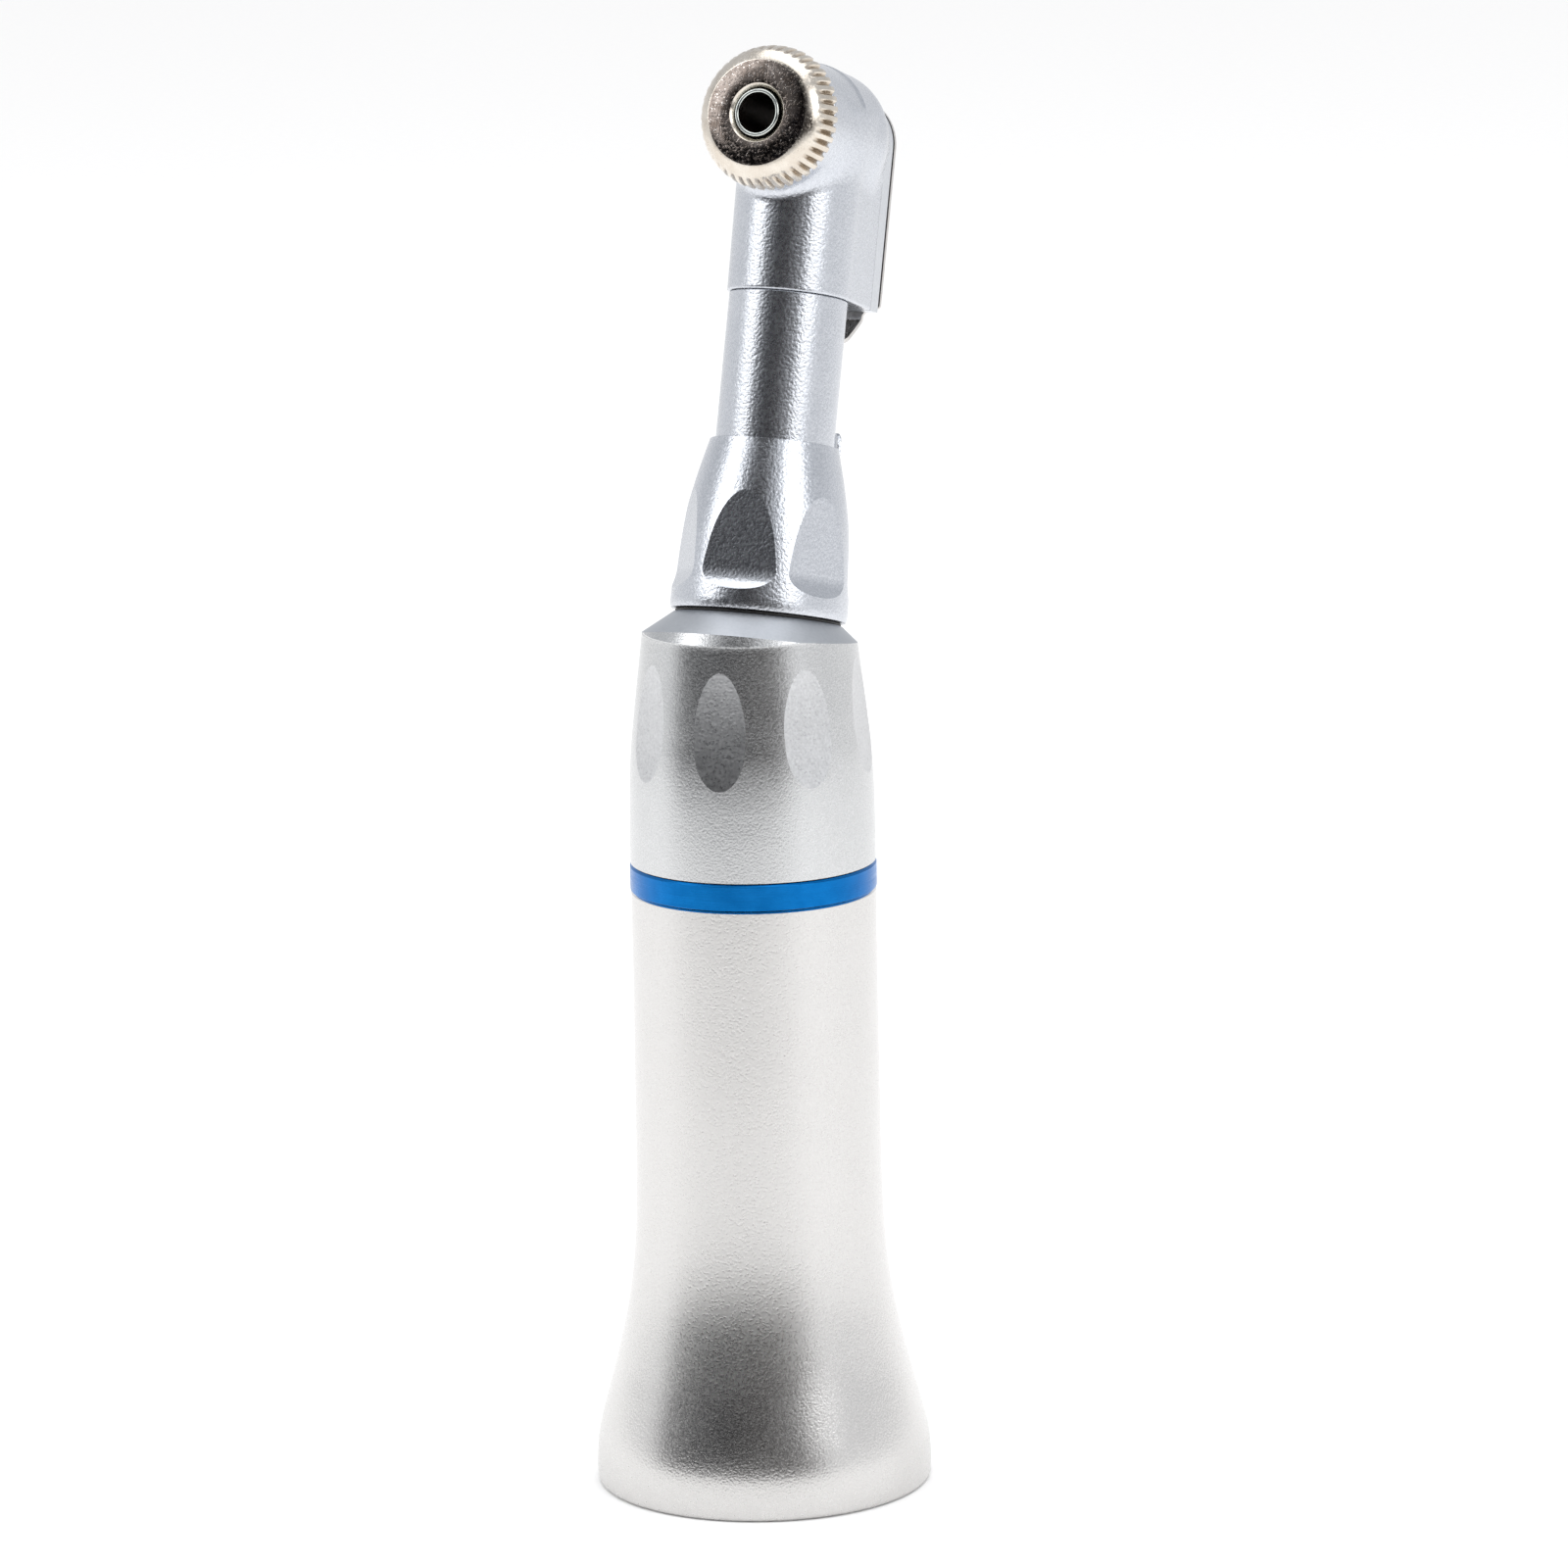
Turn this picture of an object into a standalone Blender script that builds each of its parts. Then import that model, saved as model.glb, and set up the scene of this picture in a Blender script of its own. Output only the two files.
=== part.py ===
"""Contra angle dental handpiece: latch-type head, angled neck and external-coupling handle.

The handle's axis is +Z, with z = 0 on its rear rim.  The neck leans towards +Y, and the bur
points towards -Y, square to the neck.  Outlines are in millimetres; MM turns them into metres.
Three empties carry the axes: handle_axis, neck_axis (+Z along the neck, from the bend) and
bur_axis (+Z along the bur, +Y along the neck, from the head's centre).
"""

import math

import bmesh
import bpy
from mathutils import Matrix, Vector

MM = 0.001
MERGE = 1e-6

# Layout of the three axes
NECK_TILT = 15.0
BEND_HEIGHT = 48.62
HEAD_DISTANCE = 34.73

# Handle
FLARE_RADIUS = 10.3
HANDLE_RADIUS = 7.5
SLEEVE_BORE = 6.75
SLEEVE_TOP = 37.1
RING_BOTTOM = 37.16
RING_TOP = 38.76
GRIP_BOTTOM = 38.82
GRIP_SHOULDER = 52.93
GRIP_TOP_RADIUS = 6.49
SPIGOT_RADIUS = 6.6
SPIGOT_BOTTOM = 31.5
HOUSING_RADIUS = 5.45
SOCKET_RADIUS = 5.6
GRIP_DISHES = 8
DISH_HEIGHT = 47.7
DISH_WIDTH = 4.2
DISH_SURFACE_RADIUS = 7.08
DISH_PROFILE = (
    (-4.4, 0.03), (-2.9, -0.09), (-1.4, -0.16), (0.0, -0.18), (1.4, -0.16), (2.9, -0.09), (4.4, 0.03),
)
DISH_LEAN = 6.2
DISH_ANGLE = -79.5

# Drive shaft, its bearings and the sprung dog
SHAFT_RADIUS = 1.5
SHAFT_BORE = 1.6
RACE_INNER = 2.05
RACE_OUTER = 2.8
BEARING_RADIUS = 3.25
BEARING_WIDTH = 2.4
BALL_RADIUS = 0.32
BALLS = 7
REAR_BEARING = 33.0
FRONT_BEARING = 41.0
DOG_BOTTOM = 13.0
DOG_TOP = 20.2
DOG_RADIUS = 2.6
DOG_PIN_HEIGHT = 17.6
SPRING_BOTTOM = 20.45
SPRING_TOP = 27.45
SPRING_RADIUS = 2.05
SPRING_WIRE = 0.22
SPRING_TURNS = 5

# Neck, measured along the neck from the bend
NOSE_BASE_RADIUS = 8.3
NOSE_TAPER = 0.36
NOSE_TOP = 4.9
NOSE_TOP_RADIUS = 5.15
CHAMFER_BOTTOM = 3.2
CHAMFER_RADIUS = 7.26
NOSE_SPIGOT_TOP = 10.0
NOSE_SPIGOT_RADIUS = 4.3
COLLAR_BOTTOM = 5.12
COLLAR_TOP = 15.6
COLLAR_FLATS = 6
FLAT_ANGLE = -81.3
FLAT_PROFILE = (
    (8.0, 13.6), (4.68, 13.6), (4.78, 7.5), (4.83, 7.1), (5.0, 6.7), (5.24, 6.4), (5.5, 6.28), (8.0, 6.28),
)
TAB_SIZE = (0.25, 1.3, 2.1)
TAB_RADIUS = 4.02
TAB_ANGLE = 50.0
NECK_RADIUS = 3.6
NECK_BORE = 3.0
NECK_BOTTOM = 2.2
SEAM = 24.58

# Head, measured from its centre: along the bur, or along the neck
BARREL_RADIUS = 4.1
BARREL_FRONT = 4.5
BARREL_BACK = -5.1
FIN_HALF_WIDTH = 3.15
FIN_TOP = 3.15
BACK_PLATE_REAR = -6.2
LATCH_FRONT = -6.35
LATCH_THICKNESS = 0.25
LATCH_PIVOT = -5.5
LATCH_TAIL = -12.3
LATCH_TAIL_RISE = 1.8
TUBE_RADIUS = 1.53
TUBE_FRONT = 6.86
MOUTH_RADIUS = 1.45
TUBE_BORE = 1.2
TUBE_CLEARANCE = 1.62
CAP_FRONT = 6.84
CAP_RADIUS = 4.38
CAP_KNURLS = 43

# Bevel gears: both pairs are 1:1
GEAR_TEETH = 10
CROWN_RADIUS = 3.5
CROWN_PITCH_SLOPE = math.tan(math.radians(NECK_TILT / 2))
CROWN_ADDENDUM = 0.12
CROWN_DEDENDUM = 0.15
CROWN_BACK = 1.87
BEVEL_TIP = 2.77
BEVEL_ROOT = 2.15
BEVEL_BACK = 2.5
BEVEL_FACE = 1.9

# Round steps for wide, middling and narrow pieces
WIDE = 32
MIDDLE = 24
NARROW = 16

FINISHES = {
    "satin_steel": ((0.78, 0.78, 0.77), 0.34, 1.0),
    "satin_chrome": ((0.72, 0.74, 0.77), 0.3, 1.0),
    "grip_steel": ((0.55, 0.56, 0.58), 0.42, 1.0),
    "blue_anodised": ((0.03, 0.16, 0.45), 0.3, 0.9),
    "nickel_cap": ((0.55, 0.48, 0.4), 0.25, 1.0),
    "polished_steel": ((0.8, 0.8, 0.82), 0.12, 1.0),
    "bearing_steel": ((0.66, 0.66, 0.68), 0.18, 1.0),
    "bronze": ((0.62, 0.42, 0.2), 0.35, 1.0),
    "brass": ((0.7, 0.55, 0.25), 0.35, 1.0),
    "black_rubber": ((0.02, 0.02, 0.02), 0.7, 0.0),
    "cage_plastic": ((0.5, 0.35, 0.18), 0.5, 0.0),
}


# --- Scene and placing -------------------------------------------------------------------

def clear_scene():
    for obj in list(bpy.data.objects):
        bpy.data.objects.remove(obj, do_unlink=True)


def new_collection(name):
    collection = bpy.data.collections.new(name)
    bpy.context.scene.collection.children.link(collection)
    return collection


def new_empty(name, location, tilt=0.0, parent=None):
    empty = bpy.data.objects.new(name, None)
    PARTS.objects.link(empty)
    empty.location = Vector(location) * MM
    empty.rotation_euler = (math.radians(tilt), 0.0, 0.0)
    empty.parent = parent
    return empty


def new_material(name, finish):
    colour, roughness, metallic = FINISHES[finish]
    material = bpy.data.materials.new(name)
    material.use_nodes = True
    shader = material.node_tree.nodes["Principled BSDF"]
    shader.inputs["Base Color"].default_value = (*colour, 1.0)
    shader.inputs["Roughness"].default_value = roughness
    shader.inputs["Metallic"].default_value = metallic
    material.diffuse_color = (*colour, 1.0)
    return material


def add_piece(name, data, axis, finish):
    """Link a visible sub-part on its axis, with a material of its own."""
    piece = bpy.data.objects.new(name, data)
    piece.parent = axis
    data.materials.append(new_material(name, finish))
    PARTS.objects.link(piece)
    return piece


def add_cutter(name, data, axis):
    """Link a shape that only cuts or joins other shapes."""
    cutter = bpy.data.objects.new(name, data)
    cutter.parent = axis
    cutter.hide_render = True
    cutter.display_type = "WIRE"
    CUTTERS.objects.link(cutter)
    return cutter


def combine(piece, other, operation="DIFFERENCE"):
    boolean = piece.modifiers.new(other.name, "BOOLEAN")
    boolean.operation = operation
    boolean.solver = "EXACT"
    boolean.object = other
    return piece


# --- Shapes ------------------------------------------------------------------------------

def outline_mesh(name, outline):
    """A profile in the XZ plane.  It is a closed loop unless it starts and ends on the axis."""
    mesh = bpy.data.meshes.new(name)
    count = len(outline)
    edges = [(i, i + 1) for i in range(count - 1)]
    if outline[0][0] > 0.0:
        edges.append((count - 1, 0))
    mesh.from_pydata([(r * MM, 0.0, z * MM) for r, z in outline], edges, [])
    return mesh


def turn(obj, steps):
    screw = obj.modifiers.new("turn", "SCREW")
    screw.steps = steps
    screw.render_steps = steps
    screw.use_merge_vertices = True
    screw.merge_threshold = MERGE
    screw.use_smooth_shade = False
    return obj


def turned(name, outline, axis, finish, steps=MIDDLE):
    return turn(add_piece(name, outline_mesh(name, outline), axis, finish), steps)


def turned_cutter(name, outline, axis, steps=MIDDLE, twist=3.0):
    """The twist, in degrees, keeps the cutter's own edges off the edges that it crosses."""
    cutter = add_cutter(name, outline_mesh(name, outline), axis)
    cutter.rotation_euler.z = math.radians(twist)
    return turn(cutter, steps)


def tube_outline(inner, outer, low, high):
    return [(outer, high), (outer, low), (inner, low), (inner, high)]


def rod_outline(radius, low, high):
    return [(0.0, high), (radius, high), (radius, low), (0.0, low)]


def ring(name, inner, outer, low, high, axis, finish, steps=MIDDLE):
    return turned(name, tube_outline(inner, outer, low, high), axis, finish, steps)


def prism_mesh(name, outline, depth, to_space=Matrix()):
    """A flat XY outline pulled up to depth, then moved by to_space."""
    bm = bmesh.new()
    face = bm.faces.new([bm.verts.new((x * MM, y * MM, 0.0)) for x, y in outline])
    pulled = bmesh.ops.extrude_face_region(bm, geom=[face])
    corners = [item for item in pulled["geom"] if isinstance(item, bmesh.types.BMVert)]
    bmesh.ops.translate(bm, verts=corners, vec=(0.0, 0.0, depth * MM))
    bmesh.ops.recalc_face_normals(bm, faces=bm.faces)
    bm.transform(to_space)
    mesh = bpy.data.meshes.new(name)
    bm.to_mesh(mesh)
    bm.free()
    return mesh


def box_mesh(name, size, centre, turn_z=0.0):
    bm = bmesh.new()
    place = Matrix.Rotation(turn_z, 4, "Z") @ Matrix.Translation(Vector(centre) * MM)
    bmesh.ops.create_cube(bm, size=MM, matrix=place @ Matrix.Diagonal((*size, 1.0)))
    mesh = bpy.data.meshes.new(name)
    bm.to_mesh(mesh)
    bm.free()
    return mesh


def torus_mesh(name, major, minor, height, steps=MIDDLE, sides=8):
    """A round seal, spun from a circle."""
    bm = bmesh.new()
    matrix = Matrix.Translation((major * MM, 0.0, height * MM)) @ Matrix.Rotation(math.pi / 2, 4, "X")
    bmesh.ops.create_circle(bm, segments=sides, radius=minor * MM, matrix=matrix)
    bmesh.ops.spin(
        bm, geom=bm.verts[:] + bm.edges[:], axis=(0.0, 0.0, 1.0), cent=(0.0, 0.0, 0.0),
        angle=math.tau, steps=steps, use_merge=True,
    )
    bmesh.ops.recalc_face_normals(bm, faces=bm.faces)
    mesh = bpy.data.meshes.new(name)
    bm.to_mesh(mesh)
    bm.free()
    return mesh


def toothed_mesh(name, outline, steps, shape_vertex):
    """A spun ring whose corners shape_vertex(radius, z, step number) moves, in millimetres."""
    bm = bmesh.new()
    loop = [bm.verts.new((r * MM, 0.0, z * MM)) for r, z in outline]
    for start, end in zip(loop, loop[1:] + loop[:1]):
        bm.edges.new((start, end))
    bmesh.ops.spin(
        bm, geom=bm.verts[:] + bm.edges[:], axis=(0.0, 0.0, 1.0), cent=(0.0, 0.0, 0.0),
        angle=math.tau, steps=steps, use_merge=True,
    )
    for vert in bm.verts:
        angle = math.atan2(vert.co.y, vert.co.x)
        number = round(angle / math.tau * steps) % steps
        radius, height = shape_vertex(math.hypot(vert.co.x, vert.co.y) / MM, vert.co.z / MM, number)
        vert.co = (radius * MM * math.cos(angle), radius * MM * math.sin(angle), height * MM)
    bmesh.ops.recalc_face_normals(bm, faces=bm.faces)
    mesh = bpy.data.meshes.new(name)
    bm.to_mesh(mesh)
    bm.free()
    return mesh


# --- Gears and bearings ------------------------------------------------------------------

def is_tooth_tip(number):
    """Five steps a tooth: two on the tip and three in the gap, so mating teeth have backlash."""
    return number % 5 < 2


def crown_gear(name, axis, apex, facing):
    """A nearly flat bevel gear whose pitch cone meets the bend; facing is +1 up or -1 down."""
    back = apex - facing * CROWN_BACK

    def shape(radius, height, number):
        if abs(height - back) < 0.01:
            return radius, height
        tooth = CROWN_ADDENDUM if is_tooth_tip(number) else -CROWN_DEDENDUM
        return radius, apex + facing * radius * (tooth - CROWN_PITCH_SLOPE)

    outline = tube_outline(SHAFT_BORE, CROWN_RADIUS, min(back, apex), max(back, apex))
    mesh = toothed_mesh(name, outline, GEAR_TEETH * 5, shape)
    return add_piece(name, mesh, axis, "bearing_steel")


def bevel_gear(name, axis, apex, facing, bore):
    """A 45 degree bevel gear; facing is the side of the apex that the gear stands on."""
    face = apex + facing * BEVEL_FACE
    back = apex + facing * BEVEL_BACK

    def shape(radius, height, number):
        if radius < BEVEL_ROOT:
            return radius, height
        tip = BEVEL_TIP if is_tooth_tip(number) else BEVEL_ROOT
        return tip * abs(height - apex) / BEVEL_BACK, height

    outline = tube_outline(bore, BEVEL_TIP, min(face, back), max(face, back))
    mesh = toothed_mesh(name, outline, GEAR_TEETH * 5, shape)
    return add_piece(name, mesh, axis, "bearing_steel")


def balls_mesh(name, height):
    bm = bmesh.new()
    pitch = (RACE_INNER + RACE_OUTER) / 2
    for index in range(BALLS):
        angle = math.tau * index / BALLS
        centre = Vector((pitch * math.cos(angle), pitch * math.sin(angle), height)) * MM
        bmesh.ops.create_uvsphere(
            bm, u_segments=6, v_segments=4, radius=BALL_RADIUS * MM, matrix=Matrix.Translation(centre)
        )
    mesh = bpy.data.meshes.new(name)
    bm.to_mesh(mesh)
    bm.free()
    return mesh


def ball_bearing(prefix, axis, low, width, bore):
    high = low + width
    middle = (low + high) / 2
    pitch = (RACE_INNER + RACE_OUTER) / 2
    ring(prefix + "_inner_race", bore, RACE_INNER, low, high, axis, "bearing_steel")
    ring(prefix + "_outer_race", RACE_OUTER, BEARING_RADIUS, low, high, axis, "bearing_steel")
    cage = ring(
        prefix + "_cage", pitch - 0.15, pitch + 0.15, middle - 0.2, middle + 0.2, axis, "cage_plastic",
        steps=BALLS * 2,
    )
    balls = add_cutter(prefix + "_balls", balls_mesh(prefix + "_balls", middle), axis)
    combine(cage, balls, "UNION")


# --- Handle ------------------------------------------------------------------------------

def make_rear_sleeve():
    outline = [
        (7.36, SLEEVE_TOP), (7.46, SLEEVE_TOP - 0.15), (7.44, 31.7), (HANDLE_RADIUS, 23.0), (7.55, 18.3),
        (7.7, 14.7), (7.98, 12.2), (8.45, 9.8), (9.03, 7.4), (9.7, 4.9), (10.2, 2.6),
        (FLARE_RADIUS, 1.2), (10.27, 0.3), (10.17, 0.0), (SLEEVE_BORE + 0.2, 0.0), (SLEEVE_BORE, 0.3),
        (SLEEVE_BORE, SLEEVE_TOP),
    ]
    turned("rear_sleeve", outline, HANDLE, "satin_steel", WIDE)


def make_coupling_socket():
    """The tube that takes the motor's nose, with its snap groove and seal groove."""
    outer = SLEEVE_BORE - 0.12
    outline = [
        (outer, 30.8), (outer, 0.45), (SOCKET_RADIUS + 0.35, 0.45), (SOCKET_RADIUS, 0.9),
        (SOCKET_RADIUS, 5.8), (SOCKET_RADIUS + 0.4, 6.0), (SOCKET_RADIUS + 0.4, 7.0), (SOCKET_RADIUS, 7.2),
        (SOCKET_RADIUS, 9.3), (SOCKET_RADIUS + 0.65, 9.3), (SOCKET_RADIUS + 0.65, 10.5),
        (SOCKET_RADIUS, 10.5), (SOCKET_RADIUS, 30.8),
    ]
    turned("coupling_socket", outline, HANDLE, "brass", WIDE)
    seal = torus_mesh("socket_seal", SOCKET_RADIUS + 0.15, 0.42, 9.9, WIDE, 6)
    add_piece("socket_seal", seal, HANDLE, "black_rubber")


def make_speed_ring():
    edge = 0.08
    outline = [
        (HANDLE_RADIUS - edge, RING_TOP), (HANDLE_RADIUS, RING_TOP - edge),
        (HANDLE_RADIUS, RING_BOTTOM + edge), (HANDLE_RADIUS - edge, RING_BOTTOM),
        (SPIGOT_RADIUS + 0.1, RING_BOTTOM), (SPIGOT_RADIUS + 0.1, RING_TOP),
    ]
    turned("speed_ring", outline, HANDLE, "blue_anodised", WIDE)


def make_nose():
    """The tilted end of the grip before its chamfer is cut, kept inside the grip's width."""
    top_radius = NOSE_BASE_RADIUS - NOSE_TAPER * NOSE_SPIGOT_TOP
    cone = [(0.0, NOSE_SPIGOT_TOP), (top_radius, NOSE_SPIGOT_TOP), (NOSE_BASE_RADIUS, 0.0), (0.0, 0.0)]
    nose = turned_cutter("nose", cone, NECK, WIDE)
    limit = turned_cutter("nose_limit", rod_outline(GRIP_TOP_RADIUS - 0.03, 45.0, 70.0), HANDLE, WIDE, 1.3)
    return combine(nose, limit, "INTERSECT")


def make_nose_trimmer():
    """Cuts the tilted chamfer and the spigot inside the lock collar."""
    outline = [
        (9.0, NOSE_SPIGOT_TOP + 1.0), (9.0, CHAMFER_BOTTOM), (CHAMFER_RADIUS, CHAMFER_BOTTOM),
        (NOSE_TOP_RADIUS, NOSE_TOP),
        (NOSE_SPIGOT_RADIUS, NOSE_TOP), (NOSE_SPIGOT_RADIUS, NOSE_SPIGOT_TOP + 1.0),
    ]
    return turned_cutter("nose_trimmer", outline, NECK, WIDE, 6.0)


def make_grip_dishes():
    """Shallow oval finger dishes round the grip, milled straight across and slightly hollow upwards."""
    outline = [(out, up) for up, out in DISH_PROFILE] + [(1.6, 4.4), (1.6, -4.4)]
    upright = Matrix.Translation((0.0, DISH_WIDTH / 2 * MM, 0.0)) @ Matrix.Rotation(math.pi / 2, 4, "X")
    reach = Matrix.Translation(Vector((DISH_SURFACE_RADIUS, 0.0, DISH_HEIGHT)) * MM)
    lean = Matrix.Rotation(math.radians(-DISH_LEAN), 4, "Y")
    first = Matrix.Rotation(math.radians(DISH_ANGLE), 4, "Z") @ reach @ lean
    dish = prism_mesh("grip_dish", outline, DISH_WIDTH, first @ upright)
    bm = bmesh.new()
    for _ in range(GRIP_DISHES):
        bm.from_mesh(dish)
        dish.transform(Matrix.Rotation(math.tau / GRIP_DISHES, 4, "Z"))
    mesh = bpy.data.meshes.new("grip_dishes")
    bm.to_mesh(mesh)
    bm.free()
    return add_cutter("grip_dishes", mesh, HANDLE)


def make_front_grip():
    outline = [
        (0.0, GRIP_SHOULDER), (GRIP_TOP_RADIUS, GRIP_SHOULDER), (6.64, 50.9), (6.85, 49.7), (7.11, 47.3),
        (7.28, 45.8), (7.44, 42.4), (HANDLE_RADIUS, GRIP_BOTTOM), (SPIGOT_RADIUS, GRIP_BOTTOM),
        (SPIGOT_RADIUS, SPIGOT_BOTTOM), (0.0, SPIGOT_BOTTOM),
    ]
    grip = turned("front_grip", outline, HANDLE, "grip_steel", WIDE)
    combine(grip, make_nose(), "UNION")
    combine(grip, make_nose_trimmer())
    bore = [
        (0.0, 49.8), (4.2, 49.8), (4.2, 44.5), (HOUSING_RADIUS + 0.1, 44.5),
        (HOUSING_RADIUS + 0.1, 30.0), (0.0, 30.0),
    ]
    combine(grip, turned_cutter("grip_bore", bore, HANDLE))
    combine(grip, turned_cutter("nose_bore", rod_outline(NECK_RADIUS + 0.15, -1.0, 12.0), NECK))
    combine(grip, make_grip_dishes())


def make_bearing_housing():
    outline = [
        (HOUSING_RADIUS, 44.2), (HOUSING_RADIUS, 31.7), (BEARING_RADIUS + 0.1, 31.7),
        (BEARING_RADIUS + 0.1, 43.55), (2.7, 43.55), (2.7, 44.2),
    ]
    turned("bearing_housing", outline, HANDLE, "brass")
    ring("bearing_spacer", RACE_OUTER, BEARING_RADIUS, 35.5, 40.9, HANDLE, "satin_steel")
    nut = ring("bearing_nut", 2.3, BEARING_RADIUS, 31.8, 32.9, HANDLE, "satin_steel")
    slot = add_cutter("nut_slot", box_mesh("nut_slot", (1.0, 8.0, 1.0), (0.0, 0.0, 31.8)), HANDLE)
    combine(nut, slot)
    ball_bearing("rear_bearing", HANDLE, REAR_BEARING, BEARING_WIDTH, SHAFT_BORE)
    ball_bearing("front_bearing", HANDLE, FRONT_BEARING, BEARING_WIDTH, SHAFT_BORE)


# --- Drive train in the handle -----------------------------------------------------------

def make_drive_shaft():
    flange = 27.7
    outline = [
        (0.0, 47.9), (SHAFT_RADIUS, 47.9), (SHAFT_RADIUS, flange + 0.8), (2.6, flange + 0.8),
        (2.6, flange), (SHAFT_RADIUS, flange), (SHAFT_RADIUS, 16.0), (1.3, 15.8), (0.0, 15.8),
    ]
    shaft = turned("drive_shaft", outline, HANDLE, "polished_steel", NARROW)
    slot = box_mesh("pin_slot", (4.0, 1.0, 2.9), (0.0, 0.0, DOG_PIN_HEIGHT + 0.75))
    combine(shaft, add_cutter("pin_slot", slot, HANDLE))


def make_drive_dog():
    """The forked dog that the motor turns; it slides on the shaft and its pin drives the shaft."""
    dog = ring("drive_dog", SHAFT_BORE, DOG_RADIUS, DOG_BOTTOM, DOG_TOP, HANDLE, "bearing_steel", NARROW)
    fork = box_mesh("dog_fork", (6.0, 1.5, 4.6), (0.0, 0.0, DOG_BOTTOM))
    combine(dog, add_cutter("dog_fork", fork, HANDLE))
    sideways = Matrix.Translation((0.0, 0.0, DOG_PIN_HEIGHT * MM)) @ Matrix.Rotation(math.pi / 2, 4, "Y")
    hole = outline_mesh("dog_pin_hole", rod_outline(0.47, -4.0, 4.0))
    hole_cutter = turn(add_cutter("dog_pin_hole", hole, HANDLE), 8)
    hole_cutter.matrix_basis = sideways
    combine(dog, hole_cutter)
    pin = turned("dog_pin", rod_outline(0.4, -2.5, 2.5), HANDLE, "polished_steel", 8)
    pin.matrix_basis = sideways


def make_dog_spring():
    curve = bpy.data.curves.new("dog_spring", "CURVE")
    curve.dimensions = "3D"
    curve.bevel_depth = SPRING_WIRE * MM
    curve.bevel_resolution = 1
    curve.use_fill_caps = True
    points = SPRING_TURNS * 10
    spline = curve.splines.new("POLY")
    spline.points.add(points)
    low = SPRING_BOTTOM + SPRING_WIRE
    high = SPRING_TOP - SPRING_WIRE
    for index, point in enumerate(spline.points):
        angle = math.tau * index / 10
        height = low + (high - low) * index / points
        point.co = (
            SPRING_RADIUS * MM * math.cos(angle), SPRING_RADIUS * MM * math.sin(angle), height * MM, 1.0,
        )
    add_piece("dog_spring", curve, HANDLE, "polished_steel")


# --- Neck --------------------------------------------------------------------------------

def make_lock_collar():
    """The collar that locks the neck on, with milled flats and a raised lip on its top rim."""
    outline = [
        (3.9, COLLAR_TOP), (4.02, 15.3), (4.13, 14.7), (4.45, 13.5), (4.69, 12.3), (4.95, 11.1),
        (5.1, 9.9), (5.24, 8.1), (5.38, 6.3), (5.4, 5.5), (5.28, COLLAR_BOTTOM), (4.5, COLLAR_BOTTOM),
        (4.5, 11.3), (3.72, 11.3), (3.72, COLLAR_TOP),
    ]
    collar = turned("lock_collar", outline, NECK, "satin_chrome", WIDE)
    width = 6.0
    upright = Matrix.Translation((0.0, width / 2 * MM, 0.0)) @ Matrix.Rotation(math.pi / 2, 4, "X")
    first = Matrix.Rotation(math.radians(FLAT_ANGLE), 4, "Z")
    flat = prism_mesh("collar_flat", FLAT_PROFILE, width, first @ upright)
    bm = bmesh.new()
    for _ in range(COLLAR_FLATS):
        bm.from_mesh(flat)
        flat.transform(Matrix.Rotation(math.tau / COLLAR_FLATS, 4, "Z"))
    mesh = bpy.data.meshes.new("collar_flats")
    bm.to_mesh(mesh)
    bm.free()
    combine(collar, add_cutter("collar_flats", mesh, NECK))
    tab = box_mesh("collar_tab", TAB_SIZE, (TAB_RADIUS, 0.0, COLLAR_TOP), math.radians(TAB_ANGLE))
    combine(collar, add_cutter("collar_tab", tab, NECK), "UNION")


def make_neck():
    ring("nose_seal", 4.45, 5.0, NOSE_TOP + 0.03, COLLAR_BOTTOM - 0.04, NECK, "black_rubber")
    flange = 10.15
    outline = [
        (3.35, 28.0), (3.35, SEAM - 0.04), (NECK_RADIUS, SEAM - 0.04), (NECK_RADIUS, flange + 0.9),
        (4.3, flange + 0.9), (4.3, flange), (NECK_RADIUS, flange), (NECK_RADIUS, NECK_BOTTOM),
        (NECK_BORE, NECK_BOTTOM), (NECK_BORE, 28.0),
    ]
    turned("neck_tube", outline, NECK, "satin_chrome", WIDE)
    ring("neck_rear_bush", SHAFT_BORE, NECK_BORE - 0.1, 4.0, 8.0, NECK, "bronze")
    ring("neck_front_bush", SHAFT_BORE, NECK_BORE - 0.1, 26.0, 30.1, NECK, "bronze")


def make_neck_shaft():
    shoulder = 2.0
    outline = [
        (0.0, 32.7), (SHAFT_RADIUS, 32.7), (SHAFT_RADIUS, 32.13), (shoulder, 32.13), (shoulder, 30.2),
        (SHAFT_RADIUS, 30.2), (SHAFT_RADIUS, 3.9), (shoulder, 3.9), (shoulder, 1.95),
        (SHAFT_RADIUS, 1.95), (SHAFT_RADIUS, 0.6), (0.0, 0.6),
    ]
    turned("neck_shaft", outline, NECK, "polished_steel", NARROW)


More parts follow.
